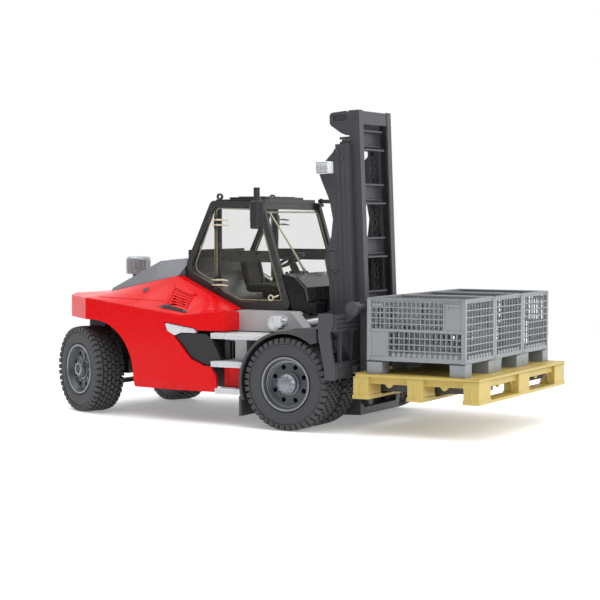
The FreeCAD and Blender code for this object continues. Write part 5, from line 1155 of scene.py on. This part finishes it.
# ---- red body, hood and side parts -----------------------------------------------------
@dataclass
class Body:
    """Red body details laid on its ruled upper panels, hood lines, steps and tail."""

    stations: tuple = (-196.0, -116.0, -95.0, -57.0)
    shoulder: tuple = ((72.0, 93.9), (83.3, 85.0), (85.0, 83.0), (85.0, 87.7))
    upper: tuple = ((42.0, 97.5), (60.0, 112.6), (60.0, 102.9), (60.0, 85.5))
    filler_at: tuple = (-143.3, 0.66)                # x, and how far up the panel
    tail_lamp_at: tuple = (32.5, 86.5)               # y and z
    lamp_top: tuple = (-15.7, 80.0, 79.5)            # top of the left headlamp's housing
    steps: tuple = ((70.8, -66.4, -20.0), (49.2, -66.4, -40.5), (28.8, -62.8, -44.0))

    def on_panel(self, x: Array, t: Array, out: Array | float) -> Array:
        """Points of the left upper panel.

        The panel is ruled: (1 - t) shoulder(x) + t upper(x), each edge straight between
        stations; out is the height above it along its normal.
        """
        x, t, out = np.broadcast_arrays(np.asarray(x, float), t, out)
        s, u = np.array(self.shoulder), np.array(self.upper)
        sy, sz = (np.interp(x, self.stations, s[:, i]) for i in (0, 1))
        uy, uz = (np.interp(x, self.stations, u[:, i]) for i in (0, 1))
        dy, dz = uy - sy, uz - sz
        size = np.hypot(dy, dz)
        return np.stack([x, sy + t * dy + out * dz / size, sz + t * dz - out * dy / size], -1)

    def pad(self, corners: list, height: float, sink: float = 0.4, steps: int = 6) -> Shell:
        """Raised patch on the panel between four (x, t) corners, bilinear in between."""
        c = np.array(corners, float)
        a, b = np.meshgrid(np.linspace(0, 1, steps), np.linspace(0, 1, steps), indexing="ij")
        a, b = a[..., None], b[..., None]
        at = (1 - a) * ((1 - b) * c[0] + b * c[3]) + a * ((1 - b) * c[1] + b * c[2])
        top = self.on_panel(at[..., 0], at[..., 1], height).reshape(-1, 3)
        low = self.on_panel(at[..., 0], at[..., 1], -sink).reshape(-1, 3)
        n = steps * steps
        face = grid_faces(steps, steps, False, False)
        i = np.arange(n).reshape(steps, steps)
        loop = np.concatenate([i[:-1, 0], i[-1, :-1], i[:0:-1, -1], i[0, :0:-1]])
        after = np.roll(loop, -1)
        walls = np.stack([loop, after, after + n, loop + n], -1)
        return Shell(np.concatenate([top, low]), [face, face[:, ::-1] + n, walls])

    def louvres(self) -> Shell:
        """Brow, six slats and two end bars of the side vent."""
        parts = [self.pad([(-114.6, 0.80), (-94.0, 0.80), (-96.5, 0.70), (-112.0, 0.70)], 1.3)]
        for i in range(6):
            t, x = 0.30 + 0.072 * i, -112.5 + 0.56 * (5 - i)
            parts.append(self.pad([(x, t), (x + 15.5, t), (x + 15.5, t + 0.034), (x, t + 0.034)],
                                  0.65))
        for x in (-113.4, -96.0):
            parts.append(self.pad([(x, 0.27), (x + 0.9, 0.27), (x + 0.9, 0.72), (x, 0.72)], 0.75))
        return merged(*parts)

    def grille(self) -> Shell:
        """Triangular grille below the vent: a black patch with rows of studs, painted recess
        shade.
        """
        parts = [self.pad([(-121.5, 0.13), (-91.0, 0.10), (-94.5, 0.20), (-113.5, 0.24)], 0.2)]
        stud = pillow((0.62, 0.5, 0.4), 0.8, 6)
        for row, t in enumerate((0.125, 0.15, 0.175, 0.20)):
            x = np.arange(-116.0 + row * 1.5, -95.0 - row * 0.6, 1.9)
            parts.append(stud.copied_to(self.on_panel(x, t, 0.25)))
        return merged(*parts)

    def filler(self) -> tuple[Shell, Shell]:
        """Ring of the round side opening, and a black disc in it: painted shade of the hole."""
        (x, t), radius, panel_width = self.filler_at, 2.9, 30.0
        a = np.linspace(0, 2 * np.pi, 24, endpoint=False)
        ring = self.on_panel(x + radius * np.cos(a), t + radius * np.sin(a) / panel_width, 0.1)
        hole_shade = self.on_panel(x, t, 0.05)
        n = self.on_panel(x, t, 1.0) - self.on_panel(x, t, 0.0)
        side = np.cross(n, [1, 0, 0])
        basis = np.stack([[1, 0, 0], n, side / np.linalg.norm(side)], 1)
        return swept(ring, 0.45, 8, True), disc(2.7, -0.5, 0.35, 24).turned(basis).shifted(*hole_shade)

    def creases(self) -> Shell:
        """Rounded bead along the shoulder, and the fine line on the upper panel."""
        x = np.linspace(-194.0, -58.0, 60)
        shoulder = self.on_panel(x, 0.012, 0.0)
        line = self.on_panel(np.linspace(-188.0, -117.0, 30), 0.30, 0.0)
        return merged(swept(shoulder, 0.55, 8), swept(line, 0.3, 6))

    def tail(self, truck: Truck) -> tuple[Shell, Shell, Shell]:
        """Cooling grille, round lamps and their bezels on the tail's rear face."""
        x = truck.box("rear_body_shell")[0][0]
        frame = plate(rounded([(-24, 80.2), (24, 80.2), (22, 90.6), (-22, 90.6)], 2.0),
                      (x - 0.5, x + 0.5), "x")
        slats = bar_row((x - 0.9, -21.5, 0), (x + 0.2, 21.5, 0.8), "z", np.linspace(81.4, 88.6, 6))
        lamp = disc(2.4, -0.6, 0.8, 24, 0.5)
        bezel = lathe([(2.4, -0.4), (3.2, -0.4), (3.1, 0.9), (2.5, 1.0)], 28)
        lamps, bezels = (part.turned(turn("z", 90)).shifted(x, *self.tail_lamp_at).both_sides()
                         for part in (lamp, bezel))
        return merged(frame, slats), lamps, bezels

    def side_trim(self) -> tuple[Shell, Shell, Shell]:
        """Left red cover of the lower box, black slabs as painted recess shade, and the step
        treads' ribs.
        """
        cover = merged(bars([((-60.7, 57.6, 28.95), (-40.3, 78.7, 44.6))]),
                       swept([(-58.2, 78.2, 30.0), (-58.2, 78.2, 44.0)], 1.6, 16))
        # painted shade: black slabs, a little proud of the box, stand where it has two recesses
        recess = bars([((-60.2, 62, 50.0), (-55.6, 78.35, 65.3)),
                       ((-53.6, 62, 51.5), (-52.8, 78.4, 65.0))])
        ribs = []
        for top, x0, x1 in self.steps:
            ribs += [((x0, 87.7, top - depth - 0.25), (x1, 88.35, top - depth + 0.25))
                     for depth in (1.0, 2.2, 3.4)]
            ribs += [((x0 + 1, y, top - 0.3), (x1 - 4, y + 1.2, top + 0.35))
                     for y in (72.0, 76.0, 80.0, 84.0)]
        return cover, recess, bars(ribs)

    def hood_lines(self, truck: Truck) -> Shell:
        """Two swage lines on each half of the hood's top and rear slope."""
        low, high = truck.box("engine_hood")
        t = np.linspace(0, 2, 30)
        x = np.interp(t, (0, 1, 2), (high[0] - 1.0, high[0] - 29.0, low[0] + 6.0))
        z = np.interp(t, (0, 1, 2), (high[2], high[2] - 2.4, low[2] + 3.4))
        parts = [swept(np.stack([x, y * (1 - 0.02 * t), z], -1), 0.45, 6)
                 for y in (14.0, 27.0)]
        return merged(*parts).both_sides()

    def lamp_parts(self) -> tuple[Shell, Shell]:
        """Left headlamp's cap rings, and its lens."""
        cap = merged(disc(4.3, 0, 0.7, 32, 0.5),
                     lathe([(4.5, -0.3), (5.6, -0.3), (5.5, 0.5), (4.6, 0.6)], 36))
        pane = plate(rounded([(71.9, 76.9), (81.6, 76.9), (81.6, 84.3), (71.9, 84.3)], 1.4),
                     (-9.2, -8.4), "x")
        lens = merged(pane, bar_row((-8.6, 0, 77.9), (-8.0, 0.7, 83.3), "y",
                                    np.linspace(73.2, 79.6, 5)))
        return cap.shifted(*self.lamp_top), lens

    def build(self, truck: Truck) -> None:
        """Builds the body details and dresses the body's nodes."""
        add = truck.add
        add("side_louvres", self.louvres().both_sides(), Finish.RED, "chassis", "red_plastic",
            bevel=0.15)
        # painted shade: the black patch stands for the shadowed recess of the grille
        add("side_grilles", self.grille().both_sides(), Finish.BLACK, "chassis", "black_plastic")
        ring, hole_shade = self.filler()
        add("filler_rings", ring.both_sides(), Finish.RED, "chassis", "red_plastic")
        # painted shade: a black disc stands for the depth of the round opening
        add("filler_cups", hole_shade.both_sides(), Finish.BLACK, "chassis", "black_plastic")
        add("shoulder_beads", self.creases().both_sides(), Finish.RED, "chassis", "red_plastic")
        grille, lamps, bezels = self.tail(truck)
        add("tail_grille", grille, Finish.BLACK, "chassis", "black_plastic", bevel=0.12)
        add("tail_lamps", lamps, Finish.LENS_RED, "chassis", "lamp_plastic")
        add("tail_lamp_bezels", bezels, Finish.SILVER, "chassis", "silver_plastic")
        cover, recess, ribs = self.side_trim()
        add("lower_box_covers", cover.both_sides(), Finish.RED, "chassis", "red_plastic",
            bevel=0.5)
        # painted shade: black slabs in place of the box's two recesses
        add("box_recesses", recess.both_sides(), Finish.BLACK, "chassis", "black_plastic",
            bevel=0.1)
        add("step_ribs", ribs.both_sides(), Finish.PEARL, "chassis", "silver_plastic", bevel=0.1)
        add("hood_swages", self.hood_lines(truck), Finish.SLATE, "hood", "hood_plastic")
        cap, lens = self.lamp_parts()
        add("headlamp_caps", cap.both_sides(), Finish.PEARL, "chassis", "lamp_plastic")
        add("headlamp_lenses", lens.both_sides(), Finish.CHROME, "chassis", "lamp_plastic",
            bevel=0.15)
        truck.dress(Finish.RED, "rear_body_shell", "side_panel_left", "side_panel_right")
        truck.dress(Finish.SLATE, "engine_hood")
        truck.dress(Finish.BLACK, "engine_block", "air_filter_stem", "badge_panels")
        truck.dress(Finish.SILVER, "air_filter_cap")
        truck.dress(Finish.PEARL, "accent_panels", "steps_left", "steps_right", "headlamps")
        truck.dress(Finish.LIGHT_GREY, "side_boxes")
        truck.dress(Finish.FENDER, "fender_left", "fender_right")


# ---- studio ----------------------------------------------------------------------------
@dataclass
class Studio:
    """Round white table before a lit white wall, soft boxes and the camera."""

    camera_at: tuple = (0.64647, -1.16076, 0.16026)
    heading: float = 28.91
    dip: float = 2.91
    lens: float = 99.53
    table_r: float = 0.95
    glow: tuple = (0.30, 0.65)           # where the paper starts and stops to brighten
    glow_levels: tuple = (0.27, 0.60)
    wall: tuple = (-0.15, 0.80, 0.58)    # towards the lit wall and ceiling
    wall_reach: tuple = (-0.35, 0.75)    # cosines to the wall where the light starts and peaks
    wall_levels: tuple = (0.22, 1.15)    # the dark side of the room, and the lit wall
    aim: tuple = (0.0, 0.0, 0.08)
    lamps: tuple = (("key_box", (0.3, -0.9, 1.9), 2.0, 18.0),
                    ("top_box", (-0.9, -0.25, 1.6), 1.2, 9.0),
                    ("fill_box", (1.6, -0.6, 0.8), 1.2, 15.0))

    def ramp(self, tree: bpy.types.NodeTree, value: bpy.types.Node, reach: tuple,
             levels: tuple) -> bpy.types.Node:
        """Soft step from the first level to the second as a node's value crosses the reach."""
        return add_node(tree, "MapRange", {"Value": value.outputs["Value"]},
                        interpolation_type="SMOOTHSTEP", From_Min_in=reach[0],
                        From_Max_in=reach[1], To_Min_in=levels[0], To_Max_in=levels[1])

    def table(self) -> None:
        """White paper: a flat disc that glows, least near the truck, where the glow keeps its
        shadow pale, and most towards its edge so that it melts into the room.
        """
        mesh = bpy.data.meshes.new("table")
        angle = np.linspace(0, 2 * np.pi, 128, endpoint=False)
        rim = np.column_stack([np.cos(angle), np.sin(angle), np.zeros(len(angle))])
        mesh.from_pydata((rim * self.table_r).tolist(), [], [tuple(range(len(angle)))])
        table = bpy.data.objects.new("table", mesh)
        bpy.context.scene.collection.objects.link(table)
        paper = bpy.data.materials.new("white_paper_sweep")
        paper.use_nodes = True
        tree = paper.node_tree
        shader = tree.nodes["Principled BSDF"]
        place = add_node(tree, "TexCoord").outputs["Object"]
        far = add_node(tree, "VectorMath", {0: place}, operation="LENGTH")
        # painted light: the paper's glow lifts the truck's cast shadow and brightens the paper
        # outwards
        glow = self.ramp(tree, far, self.glow, self.glow_levels)
        tree.links.new(glow.outputs["Result"], shader.inputs["Emission Strength"])
        for name, value in (("Base Color", linear("#EDEDED")), ("Roughness", 0.85),
                            ("Emission Color", (1, 1, 1, 1))):
            shader.inputs[name].default_value = value
        mesh.materials.append(paper)

    def light(self) -> None:
        """The room, white to the eye and dim to the truck, and the soft boxes."""
        scene = bpy.context.scene
        world = bpy.data.worlds.new("room")
        world.use_nodes = True
        tree = world.node_tree
        towards = add_node(tree, "TexCoord").outputs["Generated"]
        along = add_node(tree, "VectorMath", {0: towards}, operation="DOT_PRODUCT")
        along.inputs[1].default_value = self.wall
        lit = self.ramp(tree, along, self.wall_reach, self.wall_levels)
        seen = add_node(tree, "LightPath").outputs["Is Camera Ray"]
        level = add_node(tree, "Mix", {"Factor": seen, "A": lit.outputs["Result"]},
                         data_type="FLOAT", B_in=1.0)
        back = tree.nodes["Background"]
        back.inputs["Color"].default_value = (1, 1, 1, 1)
        tree.links.new(level.outputs["Result"], back.inputs["Strength"])
        scene.world = world
        for name, at, width, power in self.lamps:
            light = bpy.data.lights.new(name, "AREA")
            light.size, light.energy = width, power
            lamp = bpy.data.objects.new(name, light)
            lamp.location = at
            aim = Vector(self.aim) - Vector(at)
            lamp.rotation_mode = "QUATERNION"
            lamp.rotation_quaternion = aim.to_track_quat("-Z", "Y")
            scene.collection.objects.link(lamp)

    def build(self) -> None:
        """Makes the table, the light and the camera."""
        scene = bpy.context.scene
        scene.view_settings.view_transform = "Standard"
        self.table()
        self.light()
        view = bpy.data.cameras.new("camera")
        view.lens, view.sensor_width = self.lens, 36.0
        view.clip_start, view.clip_end = 0.01, 100.0
        camera = bpy.data.objects.new("camera", view)
        camera.location = self.camera_at
        camera.rotation_euler = (math.radians(90 - self.dip), 0, math.radians(self.heading))
        scene.collection.objects.link(camera)
        scene.camera = camera


def corners(bounds: tuple) -> list:
    """Two corner points as plain lists of numbers."""
    return [[float(v) for v in corner] for corner in bounds]


def main() -> None:
    """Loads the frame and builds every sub-assembly in order."""
    logging.basicConfig(level=logging.INFO, format="%(name)s %(message)s")
    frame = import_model()
    truck = Truck(frame)
    for assembly in (Body(), Wheels(), Cab(), Mast(), Pallet(), CageCrate()):
        LOG.info("building %s", type(assembly).__name__)
        assembly.build(truck)
    Studio().build()


if __name__ == "__main__":
    main()
